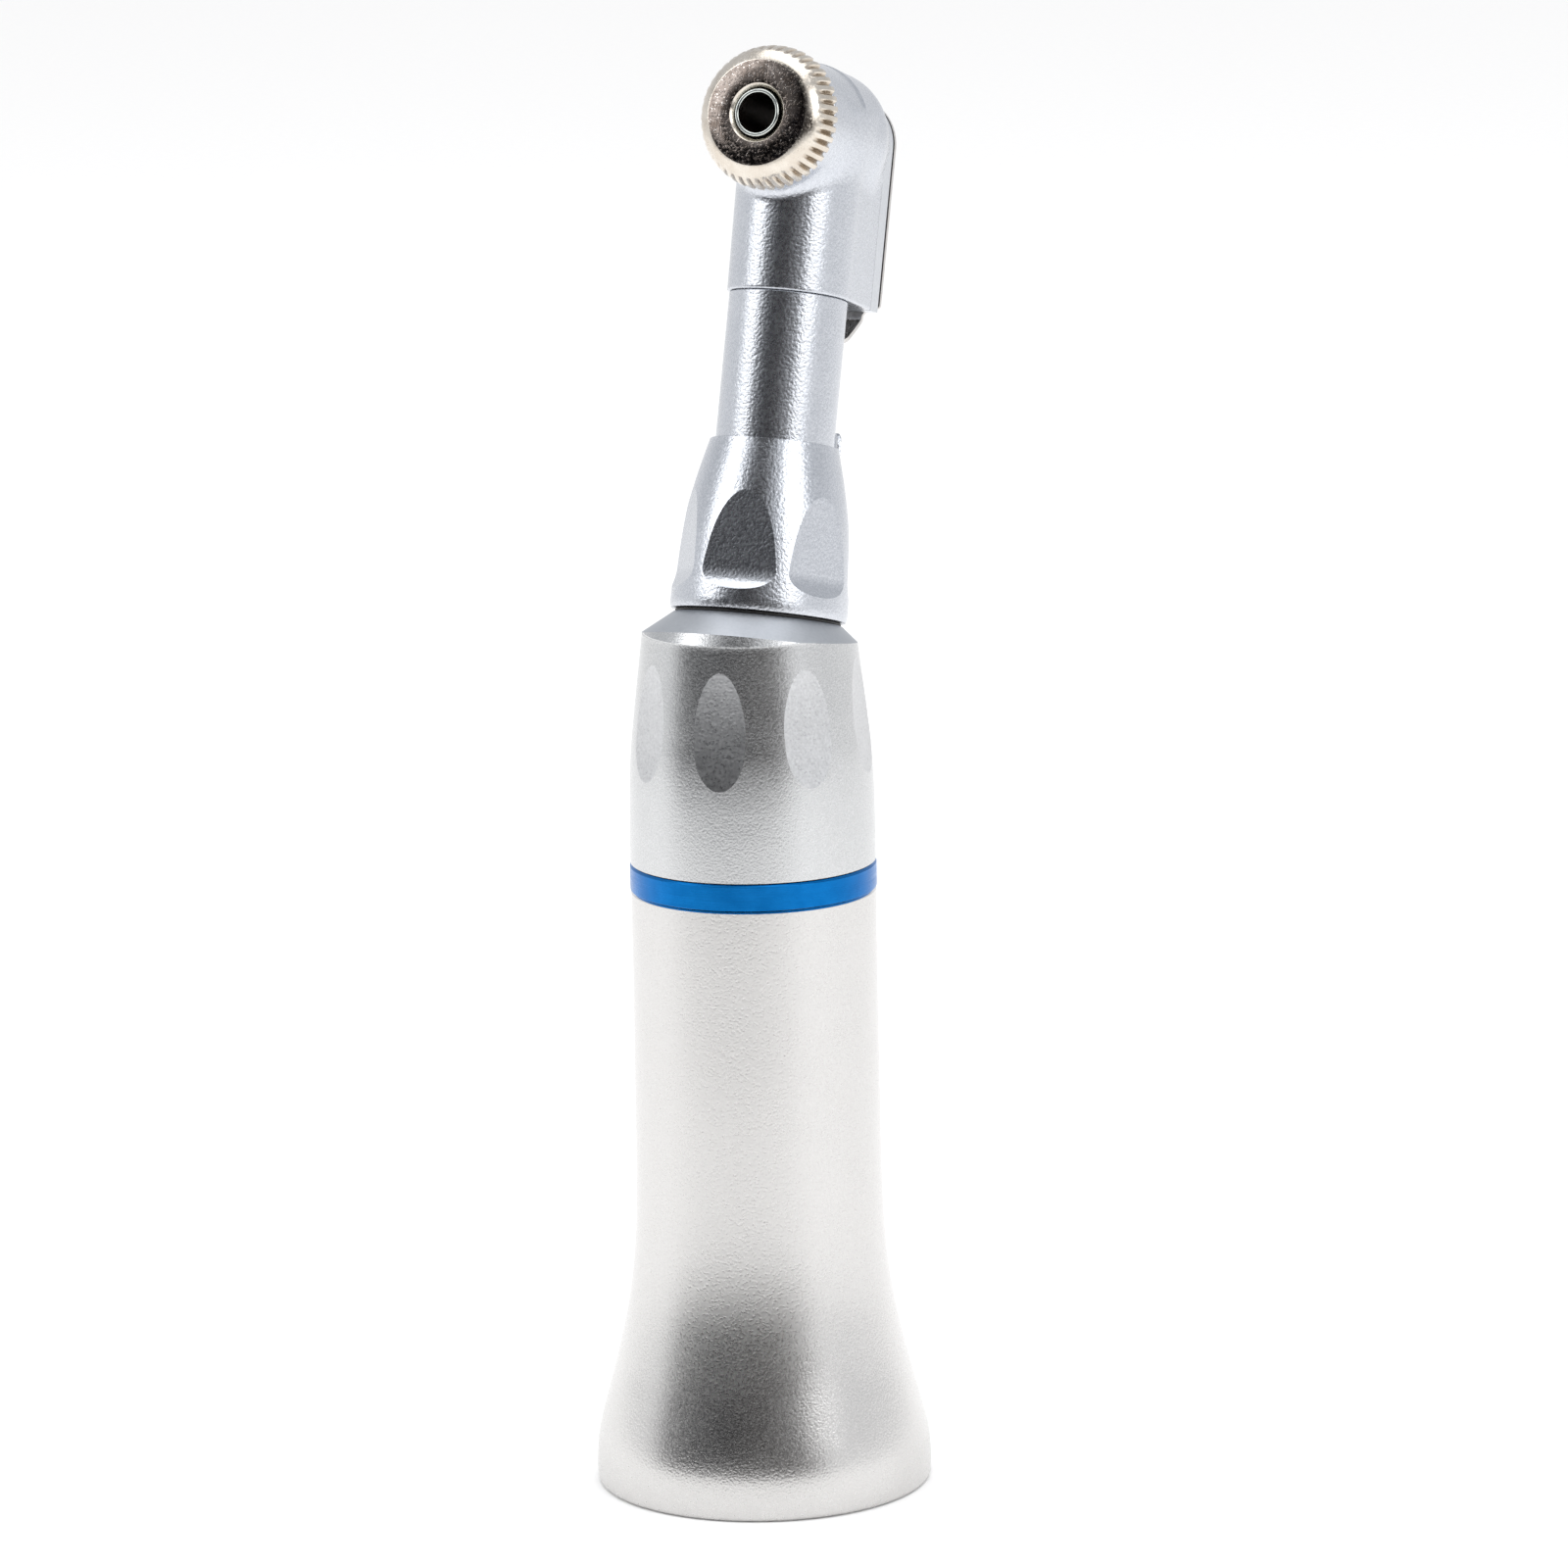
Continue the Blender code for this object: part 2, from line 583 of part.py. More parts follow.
def make_gears():
    """Each follower is turned half a tooth, so the teeth start in mesh."""
    half_tooth = math.pi / GEAR_TEETH
    tip_centre = math.tau / (GEAR_TEETH * 5) / 2
    towards_mesh = math.radians(90.0)
    drive = crown_gear("drive_gear", HANDLE, BEND_HEIGHT, 1)
    drive.rotation_euler.z = towards_mesh - tip_centre
    follower = crown_gear("neck_rear_gear", NECK, 0.0, -1)
    follower.rotation_euler.z = towards_mesh - tip_centre + half_tooth
    pinion = bevel_gear("neck_front_gear", NECK, HEAD_DISTANCE, -1, SHAFT_BORE)
    pinion.rotation_euler.z = -towards_mesh - tip_centre
    rotor = bevel_gear("bur_gear", BUR, 0.0, 1, TUBE_CLEARANCE)
    rotor.rotation_euler.z = -towards_mesh - tip_centre + half_tooth


# --- Head --------------------------------------------------------------------------------

def arch_outline(half_width, top, bottom, points=8):
    """A flat plate outline with a round top, in the plane square to the bur."""
    centre = top - half_width
    outline = [(-half_width, bottom), (half_width, bottom)]
    for index in range(points + 1):
        angle = math.pi * index / points
        outline.append((half_width * math.cos(angle), centre + half_width * math.sin(angle)))
    return outline


def make_fin():
    """The flat-sided back of the head, narrowing to the rear, with a round top."""
    sides = [(3.66, -0.8), (3.66, 0.0), (-3.66, 0.0), (-3.66, -0.8)]
    back = [(-FIN_HALF_WIDTH, BARREL_BACK), (FIN_HALF_WIDTH, BARREL_BACK)]
    seam = SEAM - HEAD_DISTANCE
    along_neck = Matrix.Rotation(math.radians(90.0), 4, "X")
    lift = Matrix.Translation((0.0, (FIN_TOP + 0.2) * MM, 0.0))
    outline = sides + back
    body = prism_mesh("fin", outline, FIN_TOP + 0.2 - seam, lift @ along_neck)
    fin = add_cutter("fin", body, BUR)
    arch = prism_mesh(
        "fin_arch", arch_outline(3.8, FIN_TOP + 0.8, seam - 1.0, 12), 8.0,
        Matrix.Translation((0.0, 0.0, -7.5 * MM)),
    )
    return combine(fin, add_cutter("fin_arch", arch, BUR), "INTERSECT")


def make_head_housing():
    outline = [
        (0.0, 5.45), (3.7, 5.45), (3.7, BARREL_FRONT), (BARREL_RADIUS, BARREL_FRONT),
        (BARREL_RADIUS, -3.1), (3.8, -3.8), (3.4, -4.45), (3.1, BARREL_BACK), (0.0, BARREL_BACK),
    ]
    head = turned("head_housing", outline, BUR, "satin_chrome", WIDE)
    sleeve = [(0.0, HEAD_DISTANCE), (3.85, HEAD_DISTANCE), (3.75, SEAM), (0.0, SEAM)]
    combine(head, turned_cutter("head_sleeve", sleeve, NECK, WIDE), "UNION")
    combine(head, make_fin(), "UNION")
    neck_bore = [
        (0.0, HEAD_DISTANCE), (NECK_BORE, HEAD_DISTANCE), (NECK_BORE, 28.1), (3.45, 28.1),
        (3.45, SEAM - 1.0), (0.0, SEAM - 1.0),
    ]
    combine(head, turned_cutter("head_neck_bore", neck_bore, NECK))
    bur_bore = [
        (0.0, 7.0), (BEARING_RADIUS + 0.1, 7.0), (BEARING_RADIUS + 0.1, -2.85), (2.5, -2.85),
        (2.5, -7.0), (0.0, -7.0),
    ]
    combine(head, turned_cutter("head_bur_bore", bur_bore, BUR))
    screw_hole = turned_cutter("screw_hole", rod_outline(0.65, -8.0, -4.2), LATCH, 12)
    combine(head, screw_hole)
    return screw_hole


def make_back_plate(screw_hole):
    """The plate behind the fin; one lower corner is cut off to clear the latch's bent tail."""
    half = FIN_HALF_WIDTH - 0.03
    bottom = SEAM - HEAD_DISTANCE
    corner = 0.7
    outline = arch_outline(half, FIN_TOP - 0.03, bottom, 12)
    outline[0:1] = [(-half, bottom + corner), (corner - half, bottom)]
    depth = BARREL_BACK - 0.06 - BACK_PLATE_REAR
    mesh = prism_mesh("back_plate", outline, depth, Matrix.Translation((0.0, 0.0, BACK_PLATE_REAR * MM)))
    plate = add_piece("back_plate", mesh, BUR, "satin_chrome")
    combine(plate, turned_cutter("plate_bur_hole", rod_outline(1.75, -8.0, -4.0), BUR))
    combine(plate, screw_hole)


def latch_rows():
    """Half-width, height along the neck and inward rise of the latch sheet, from top to tail."""
    rows = []
    for angle in (80.0, 60.0, 40.0, 20.0, 0.0):
        turn_angle = math.radians(angle)
        reach = FIN_HALF_WIDTH * math.sin(turn_angle)
        rows.append((FIN_HALF_WIDTH * math.cos(turn_angle), FIN_TOP - FIN_HALF_WIDTH + reach, 0.0))
    seam = SEAM - HEAD_DISTANCE
    rows.append((FIN_HALF_WIDTH, seam + 0.2, 0.0))
    rows.append((2.1, seam - 0.1, 0.0))
    rows.append((2.0, seam - 0.45, 0.0))
    rows.append((1.9, LATCH_TAIL + 0.3, LATCH_TAIL_RISE * 0.85))
    rows.append((1.5, LATCH_TAIL, LATCH_TAIL_RISE))
    return rows


def make_latch(screw_hole):
    """The thin latch sheet on its pivot screw, with a notch that holds the bur's end."""
    bm = bmesh.new()
    last = None
    middle = LATCH_FRONT - LATCH_THICKNESS / 2
    for half, height, rise in latch_rows():
        here = Vector((0.0, height - LATCH_PIVOT, middle + rise)) * MM
        row = [bm.verts.new(here + Vector((side * half * MM, 0.0, 0.0))) for side in (-1, 1)]
        if last:
            bm.faces.new((last[0], last[1], row[1], row[0]))
        last = row
    bmesh.ops.recalc_face_normals(bm, faces=bm.faces)
    mesh = bpy.data.meshes.new("latch_lever")
    bm.to_mesh(mesh)
    bm.free()
    lever = add_piece("latch_lever", mesh, LATCH, "polished_steel")
    thickness = lever.modifiers.new("thickness", "SOLIDIFY")
    thickness.thickness = LATCH_THICKNESS * MM
    thickness.offset = 0.0
    combine(lever, screw_hole)
    notch = box_mesh("latch_notch", (4.0, 1.7, 2.0), (-2.0, 0.0, LATCH_FRONT))
    combine(lever, add_cutter("latch_notch", notch, BUR))
    combine(lever, turned_cutter("latch_notch_end", rod_outline(0.85, -8.0, -5.5), BUR, 12))
    ring("latch_washer", 0.75, 1.5, LATCH_FRONT + 0.02, BACK_PLATE_REAR - 0.02, LATCH, "bronze", NARROW)
    head = LATCH_FRONT - LATCH_THICKNESS - 0.06
    outline = [
        (0.0, -4.5), (0.55, -4.5), (0.55, head), (1.35, head), (1.35, head - 0.25),
        (0.9, head - 0.5), (0.0, head - 0.5),
    ]
    screw = turned("latch_screw", outline, LATCH, "polished_steel", NARROW)
    slot = box_mesh("screw_slot", (3.0, 0.35, 0.5), (0.0, 0.0, head - 0.5))
    combine(screw, add_cutter("screw_slot", slot, LATCH))


def make_bur_drive():
    chamfer = 0.05
    outline = [
        (MOUTH_RADIUS, TUBE_FRONT), (MOUTH_RADIUS, 5.75), (TUBE_RADIUS, 5.7),
        (TUBE_RADIUS, -5.6), (TUBE_BORE, -5.6),
        (TUBE_BORE, TUBE_FRONT - chamfer), (TUBE_BORE + chamfer, TUBE_FRONT),
    ]
    turned("bur_tube", outline, BUR, "polished_steel")
    ring("rear_bur_bush", TUBE_CLEARANCE, 2.4, -4.9, -2.95, BUR, "bronze")
    ring("gear_spacer", TUBE_CLEARANCE, 2.0, 2.55, 3.25, BUR, "satin_steel")
    ball_bearing("bur_bearing", BUR, 3.35, 2.0, TUBE_CLEARANCE)
    ring("tube_clip", TUBE_CLEARANCE, 2.2, 5.42, 5.65, BUR, "polished_steel")
    ring("cap_washer", 2.7, BEARING_RADIUS - 0.05, 5.42, 5.65, BUR, "polished_steel")


def make_head_cap():
    """The knurled cap that closes the bur side of the head."""
    bore = MOUTH_RADIUS + 0.12
    outline = [
        (3.2, CAP_FRONT), (3.9, 6.3), (4.27, 5.5), (CAP_RADIUS, 4.7), (4.2, BARREL_FRONT + 0.06),
        (3.8, BARREL_FRONT + 0.06), (3.8, 5.75), (bore, 5.75), (bore, 6.62), (1.79, CAP_FRONT),
    ]

    def shape(radius, height, number):
        groove = 0.16 if radius > 4.25 and number % 2 else 0.0
        return radius - groove, height

    mesh = toothed_mesh("head_cap", outline, CAP_KNURLS * 2, shape)
    add_piece("head_cap", mesh, BUR, "nickel_cap")


def main():
    make_rear_sleeve()
    make_coupling_socket()
    make_speed_ring()
    make_front_grip()
    make_bearing_housing()
    make_drive_shaft()
    make_drive_dog()
    make_dog_spring()
    make_lock_collar()
    make_neck()
    make_neck_shaft()
    make_gears()
    screw_hole = make_head_housing()
    make_back_plate(screw_hole)
    make_latch(screw_hole)
    make_bur_drive()
    make_head_cap()


clear_scene()
PARTS = new_collection("contra_angle_handpiece")
CUTTERS = new_collection("cutters")
NECK_LEAN = math.radians(NECK_TILT)
HEAD_CENTRE = (
    0.0, HEAD_DISTANCE * math.sin(NECK_LEAN), BEND_HEIGHT + HEAD_DISTANCE * math.cos(NECK_LEAN),
)
HANDLE = new_empty("handle_axis", (0.0, 0.0, 0.0))
NECK = new_empty("neck_axis", (0.0, 0.0, BEND_HEIGHT), -NECK_TILT)
BUR = new_empty("bur_axis", HEAD_CENTRE, 90.0 - NECK_TILT)
LATCH = new_empty("latch_axis", (0.0, LATCH_PIVOT, 0.0), parent=BUR)
main()
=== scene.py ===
"""Looks of a contra angle dental handpiece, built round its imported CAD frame.

Profiles are in millimetres, each piece is modelled on its own axis, and MM turns it into metres.
The axes are the handle (+Z), the neck (+Z along the neck, from the bend), the bur (+Z along the
bur, +Y along the neck, from the head's centre) and the latch's pivot, which is parallel to the bur.
"""

import math

import bmesh
import bpy
import numpy as np
from mathutils import Matrix, Vector


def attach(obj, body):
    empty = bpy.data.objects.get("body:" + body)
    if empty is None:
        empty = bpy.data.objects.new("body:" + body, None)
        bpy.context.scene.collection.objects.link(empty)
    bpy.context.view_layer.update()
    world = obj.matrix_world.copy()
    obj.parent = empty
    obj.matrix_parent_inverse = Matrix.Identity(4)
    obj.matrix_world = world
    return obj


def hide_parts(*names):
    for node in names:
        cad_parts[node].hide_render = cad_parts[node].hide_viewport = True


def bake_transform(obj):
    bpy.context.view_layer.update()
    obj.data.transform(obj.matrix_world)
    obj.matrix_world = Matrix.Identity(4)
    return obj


MM = 0.001
MERGE_DISTANCE = 1e-7
TINY = 1e-9

# How set_normals tells which surface a face lies on, in millimetres
FACING_WEIGHT = 0.02
FAR_OFF = 0.05

# Layout of the axes
NECK_TILT = math.radians(15.0)
BEND_HEIGHT = 48.62
HEAD_DISTANCE = 34.73
SEAM = 24.58
HEAD_SEAM = SEAM - HEAD_DISTANCE
LATCH_PIVOT = -5.5

HANDLE = Matrix()
NECK = Matrix.Translation((0.0, 0.0, BEND_HEIGHT * MM)) @ Matrix.Rotation(-NECK_TILT, 4, "X")
BUR = (
    NECK @ Matrix.Translation((0.0, 0.0, HEAD_DISTANCE * MM)) @ Matrix.Rotation(math.pi / 2, 4, "X")
)
LATCH = BUR @ Matrix.Translation((0.0, LATCH_PIVOT * MM, 0.0))


# --- Meshes ---

def spline(points, spacing=0.35):
    """A smooth curve through (radius, height) points, evenly resampled."""
    points = np.array(points, float)
    ends = np.vstack((2 * points[0] - points[1], points, 2 * points[-1] - points[-2]))
    curve = []
    for i in range(1, len(ends) - 2):
        p0, p1, p2, p3 = ends[i - 1:i + 3]
        count = max(2, int(math.ceil(np.linalg.norm(p2 - p1) / spacing)))
        for t in np.arange(count) / count:
            curve.append(
                0.5 * (
                    2 * p1 + (p2 - p0) * t + (2 * p0 - 5 * p1 + 4 * p2 - p3) * t * t
                    + (3 * p1 - p0 - 3 * p2 + p3) * t ** 3
                )
            )
    curve.append(points[-1])
    return [tuple(point) for point in curve]


def fillet(points, radii, steps=5):
    """Round the corners of an open path; radii maps a point's number to its radius."""
    path = []
    for number, point in enumerate(points):
        radius = radii.get(number, 0.0)
        if not radius:
            path.append(tuple(point))
            continue
        here = np.array(point, float)
        before = np.array(points[number - 1], float) - here
        after = np.array(points[(number + 1) % len(points)], float) - here
        before /= np.linalg.norm(before)
        after /= np.linalg.norm(after)
        half = math.acos(max(-1.0, min(1.0, float(before @ after)))) / 2
        middle = before + after
        centre = here + middle / np.linalg.norm(middle) * radius / math.sin(half)
        start = here + before * radius / math.tan(half) - centre
        end = here + after * radius / math.tan(half) - centre
        for t in np.linspace(0.0, 1.0, steps + 1):
            spoke = start * (1 - t) + end * t
            path.append(tuple(centre + spoke / np.linalg.norm(spoke) * radius))
    return path


def placed(name, data, place=HANDLE):
    """An object of the scene that shows a mesh, a light or a camera."""
    obj = bpy.data.objects.new(name, data)
    obj.matrix_world = place
    bpy.context.scene.collection.objects.link(obj)
    return obj


def new_object(name, mesh, place, finishes, body, slot, *nodes):
    """Put a piece on its axis, make it ride on its body and stand for its CAD nodes."""
    for finish in finishes:
        mesh.materials.append(finish)
    piece = placed(name, mesh, place)
    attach(piece, body)
    if nodes:
        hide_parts(*nodes)
    return piece


def mesh_from(name, verts, faces):
    mesh = bpy.data.meshes.new(name)
    mesh.from_pydata([tuple(v) for v in np.asarray(verts) * MM], [], faces)
    mesh.shade_smooth()
    mesh.update()
    return mesh


def turned_mesh(name, path, steps=192, closed=False, crease=35.0, shape=None):
    """Turn a path about Z.  shape(radius, angle, height) may move points in or out.

    Corners sharper than crease stay sharp; others get a normal weighted by their edges' lengths.
    """
    path = np.array([tuple(point) for point in path] + ([path[0]] if closed else []))
    count = len(path)
    angle = np.arange(steps) * math.tau / steps
    radius = np.repeat(path[:, 0][:, None], steps, 1)
    height = np.repeat(path[:, 1][:, None], steps, 1)
    if shape:
        radius = shape(radius, angle[None, :], height)
    verts = np.stack((radius * np.cos(angle), radius * np.sin(angle), height), -1).reshape(-1, 3)
    faces = []
    for row in range(count - 1):
        faces += band(row * steps, (row + 1) * steps, steps)
    mesh = mesh_from(name, verts, faces)
    if shape:
        mesh.set_sharp_from_angle(angle=math.radians(crease))
        tidy_mesh(mesh)
        return mesh
    edges = np.diff(path, axis=0)
    lengths = np.linalg.norm(edges, axis=1)
    flat = np.stack((edges[:, 1], -edges[:, 0]), -1) / lengths[:, None]
    low = flat.copy()
    high = flat.copy()
    for i in range(count - 1):
        k = (i + 1) % (count - 1)
        if k == 0 and not closed:
            continue
        if flat[i] @ flat[k] > math.cos(math.radians(crease)):
            mixed = flat[i] * lengths[i] ** 2 + flat[k] * lengths[k] ** 2
            mixed /= np.linalg.norm(mixed)
            high[i] = mixed
            low[k] = mixed
    cosine, sine = np.cos(angle), np.sin(angle)
    normals = []
    for row in range(count - 1):
        for i in range(steps):
            j = (i + 1) % steps
            for k, side in ((i, low), (j, low), (j, high), (i, high)):
                n = side[row]
                normals.append((n[0] * cosine[k], n[0] * sine[k], n[1]))
    mesh.normals_split_custom_set(normals)
    mesh.update()
    return mesh


def mesh_of(name, bm):
    """A new mesh from a bmesh, which is freed."""
    mesh = bpy.data.meshes.new(name)
    bm.to_mesh(mesh)
    bm.free()
    return mesh


def band(low, high, count):
    """The faces between two rings of points, which start at the numbers low and high."""
    return [(low + i, low + (i + 1) % count, high + (i + 1) % count, high + i) for i in range(count)]


def tidy_mesh(mesh):
    """Merge doubled points and drop empty faces."""
    bm = bmesh.new()
    bm.from_mesh(mesh)
    bmesh.ops.remove_doubles(bm, verts=bm.verts, dist=MERGE_DISTANCE)
    bmesh.ops.dissolve_degenerate(bm, edges=bm.edges, dist=MERGE_DISTANCE)
    bm.to_mesh(mesh)
    bm.free()


def face_outwards(mesh):
    bm = bmesh.new()
    bm.from_mesh(mesh)
    bmesh.ops.recalc_face_normals(bm, faces=bm.faces)
    bm.to_mesh(mesh)
    bm.free()


def prism_mesh(name, outline, depth, place=HANDLE):
    """An outline in the XY plane, pulled along Z by depth."""
    bm = bmesh.new()
    face = bm.faces.new([bm.verts.new((x * MM, y * MM, 0.0)) for x, y in outline])
    pulled = bmesh.ops.extrude_face_region(bm, geom=[face])
    top = [item for item in pulled["geom"] if isinstance(item, bmesh.types.BMVert)]
    bmesh.ops.translate(bm, verts=top, vec=(0.0, 0.0, depth * MM))
    bmesh.ops.recalc_face_normals(bm, faces=bm.faces)
    bm.transform(place)
    return mesh_of(name, bm)


def box_mesh(name, size, height, turn=0.0):
    """A box with its centre on the axis at a height, turned about the axis."""
    bm = bmesh.new()
    place = Matrix.Translation((0.0, 0.0, height * MM)) @ Matrix.Diagonal((*size, 1.0))
    bmesh.ops.create_cube(bm, size=MM, matrix=Matrix.Rotation(turn, 4, "Z") @ place)
    return mesh_of(name, bm)


def closed_turn(name, path, steps):
    """A closed solid of revolution for cutting and joining: a path that ends on the axis, or a loop."""
    verts = []
    rings = []
    for radius, height in path:
        size = steps if radius else 1
        rings.append([len(verts) + i % size for i in range(steps)])
        for i in range(size):
            angle = math.tau * i / steps
            verts.append((radius * math.cos(angle), radius * math.sin(angle), height))
    pairs = list(zip(rings, rings[1:]))
    if path[0][0] > 0.0:
        pairs.append((rings[-1], rings[0]))
    faces = []
    for first, second in pairs:
        for i in range(steps):
            j = (i + 1) % steps
            face = list(dict.fromkeys((first[i], second[i], second[j], first[j])))
            if len(face) > 2:
                faces.append(face)
    mesh = mesh_from(name, verts, faces)
    face_outwards(mesh)
    return mesh


def rod(name, radius, start, end, steps):
    """A plain round cutter along the axis."""
    return closed_turn(name, [(0.0, start), (radius, start), (radius, end), (0.0, end)], steps)


def evaluated(obj):
    """The mesh of an object with its modifiers applied, in the object's own axes."""
    bpy.context.view_layer.update()
    return bpy.data.meshes.new_from_object(obj.evaluated_get(bpy.context.evaluated_depsgraph_get()))


def joined(name, mesh, place, steps):
    """Cut or join a mesh with others; steps holds (operation, mesh, place of that mesh)."""
    base = placed(name, mesh, place)
    others = []
    for operation, other_mesh, other_place in steps:
        boolean = base.modifiers.new("boolean", "BOOLEAN")
        boolean.operation = operation
        boolean.solver = "EXACT"
        boolean.object = placed(name + "_tool", other_mesh, other_place)
        others.append(boolean.object)
    result = evaluated(base)
    result.materials.clear()
    for other in others + [base]:
        bpy.data.objects.remove(other)
    tidy_mesh(result)
    return result


def read(items, name, width=1, kind=int):
    values = np.empty(len(items) * width, kind)
    items.foreach_get(name, values)
    return values.reshape(-1, width) if width > 1 else values


def slope_of(shape, points, step=0.01):
    """The slope of a surface function at each of many points."""
    return np.stack([
        (shape(points + step * axis) - shape(points - step * axis)) / (2 * step) for axis in np.eye(3)
    ], -1)


def set_normals(mesh, surfaces, spots=None):
    """Give each face the exact normals of the surface it lies on.

    surfaces are functions of an (n, 3) array in millimetres that are zero on the surface.  spots
    maps a surface's number to a material number.
    """
    points = read(mesh.vertices, "co", 3, float) / MM
    loops = read(mesh.loops, "vertex_index")
    starts = read(mesh.polygons, "loop_start")
    totals = read(mesh.polygons, "loop_total")
    face_normals = read(mesh.polygons, "normal", 3, float)
    scores = []
    slopes = []
    for surface in surfaces:
        slope = slope_of(surface, points, 1e-4)
        size = np.linalg.norm(slope, axis=1)[:, None] + TINY
        slopes.append(slope / size)
        value = np.abs(surface(points)) / size[:, 0]
        off = np.maximum.reduceat(value[loops], starts)
        facing = np.abs(np.einsum("ij,ij->i", (slope / size)[loops[starts]], face_normals))
        scores.append(off + FACING_WEIGHT * (1.0 - facing))
    best = np.argmin(scores, 0)
    chosen = np.repeat(best, totals)
    normals = np.array(slopes)[chosen, loops]
    side = np.einsum("ij,ij->i", normals, np.repeat(face_normals, totals, 0))
    normals[side < 0] *= -1
    far = np.repeat(np.min(scores, 0) > FAR_OFF, totals)
    normals[far] = np.repeat(face_normals, totals, 0)[far]
    mesh.shade_smooth()
    if spots:
        mesh.polygons.foreach_set("material_index", [spots.get(int(b), 0) for b in best])
    mesh.normals_split_custom_set([tuple(n) for n in normals])
    mesh.update()


def about(points):
    """How far each point is from the axis."""
    return np.hypot(points[:, 0], points[:, 1])


def from_axis(matrix):
    """Turn an (n, 3) array of handle coordinates into another axis's, in millimetres."""
    inverse = np.array(matrix.inverted())
    return lambda points: points @ inverse[:3, :3].T + inverse[:3, 3] / MM


# --- Materials ---

BLACK = (0.0, 0.0, 0.0)
WHITE = (1.0, 1.0, 1.0)
PATCH_MM = 2.5
WORN_BELOW = 5.0
DULL_ABOVE = 13.0
# Heights in mm over which the cap's painted groove shade fades out towards the top
GROOVE_SHADE_TOP = (5.6, 6.3)


class Graph:
    """Short ways to add nodes to a tree; a value is a number, a colour or another node's socket."""

    def __init__(self, tree):
        self.tree = tree

    def feed(self, socket, value):
        if isinstance(value, bpy.types.NodeSocket):
            self.tree.links.new(value, socket)
        else:
            socket.default_value = value

    def add(self, kind, **values):
        node = self.tree.nodes.new(kind)
        for key, value in values.items():
            self.feed(node.inputs[key.replace("_", " ")], value)
        return node

    def span(self, value, low, high, start=0.0, end=1.0):
        """low where value is at start or below, rising to high where it is at end."""
        return self.add(
            "ShaderNodeMapRange", Value=value, From_Min=start, From_Max=end, To_Min=low, To_Max=high,
        ).outputs[0]

    def soft_step(self, value, start, end):
        """0 at start and 1 at end, with soft shoulders; end may be below start."""
        low, high = (1.0, 0.0) if start > end else (0.0, 1.0)
        result = self.span(value, low, high, min(start, end), max(start, end))
        result.node.interpolation_type = "SMOOTHSTEP"
        return result

    def math(self, operation, *values, kind="ShaderNodeMath"):
        node = self.tree.nodes.new(kind)
        node.operation = operation
        for socket, value in zip(node.inputs, values):
            self.feed(socket, value)
        return node.outputs[0]

    def along(self, direction, vector):
        """How far a vector goes in a direction."""
        return self.math("DOT_PRODUCT", vector, direction, kind="ShaderNodeVectorMath").node.outputs["Value"]

    def mix(self, factor, first, second):
        node = self.tree.nodes.new("ShaderNodeMix")
        node.data_type = "RGBA"
        for name, value in (("Factor", factor), ("A", first), ("B", second)):
            self.feed(node.inputs[name], value)
        return node.outputs["Result"]


class Finish(Graph):
    """A material's nodes, on the axes of the piece that wears it."""

    def __init__(self, name, colour, metallic, roughness):
        self.material = bpy.data.materials.new(name)
        self.material.use_nodes = True
        super().__init__(self.material.node_tree)
        self.shader = self.tree.nodes["Principled BSDF"]
        self.shader.inputs["Base Color"].default_value = (*colour, 1.0)
        self.shader.inputs["Metallic"].default_value = metallic
        self.shader.inputs["Roughness"].default_value = roughness
        self.coords = self.add("ShaderNodeTexCoord").outputs["Object"]

    def noise(self, size_mm, detail=2.0, stretch=(1.0, 1.0, 1.0)):
        mapping = self.add("ShaderNodeMapping", Vector=self.coords, Scale=stretch)
        return self.add(
            "ShaderNodeTexNoise", Vector=mapping.outputs[0], Scale=1.0 / (size_mm * MM), Detail=detail,
        ).outputs["Fac"]

    def ramp(self, value, stops):
        node = self.add("ShaderNodeValToRGB", Fac=value)
        elements = node.color_ramp.elements
        while len(elements) < len(stops):
            elements.new(0.5)
        for element, (position, colour) in zip(elements, stops):
            element.position = position
            element.color = (*colour, 1.0)
        return node.outputs[0]

    def bump(self, height, depth_mm, after=None):
        node = self.add("ShaderNodeBump", Strength=1.0, Distance=depth_mm * MM, Height=height)
        if after:
            self.feed(node.inputs["Normal"], after)
        return node.outputs[0]

    def colours(self, value, *stops):
        self.feed(self.shader.inputs["Base Color"], self.ramp(value, stops))

    def tones(self, value, dark, light, start=0.3, end=0.7):
        self.colours(value, (start, dark), (end, light))

    def roughen(self, value, low, high, start=0.3, end=0.7):
        self.feed(self.shader.inputs["Roughness"], self.span(value, low, high, start, end))

    def relief(self, height, depth_mm, after=None):
        self.feed(self.shader.inputs["Normal"], self.bump(height, depth_mm, after))


def blasted(name, dark, light, roughness, grain_mm, depth_mm, duller=1.0):
    """Satin metal blasted with fine beads: sparkling grain, with soft patches in its tone.

    duller multiplies the roughness from WORN_BELOW up to DULL_ABOVE, away from the rim.
    """
    finish = Finish(name, light, 1.0, roughness)
    grain = finish.noise(grain_mm, 1.0)
    patches = finish.noise(PATCH_MM)
    tone = finish.math("ADD", grain, finish.span(patches, -0.06, 0.06, 0.3, 0.7))
    finish.tones(tone, dark, light, 0.25, 0.75)
    height = finish.add("ShaderNodeSeparateXYZ", Vector=finish.coords).outputs["Z"]
    rising = finish.span(height, 1.0, duller, WORN_BELOW * MM, DULL_ABOVE * MM)
    grainy = finish.span(tone, roughness * 0.88, roughness * 1.12, 0.25, 0.75)
    finish.feed(finish.shader.inputs["Roughness"], finish.math("MULTIPLY", grainy, rising))
    finish.relief(grain, depth_mm)
    return finish.material


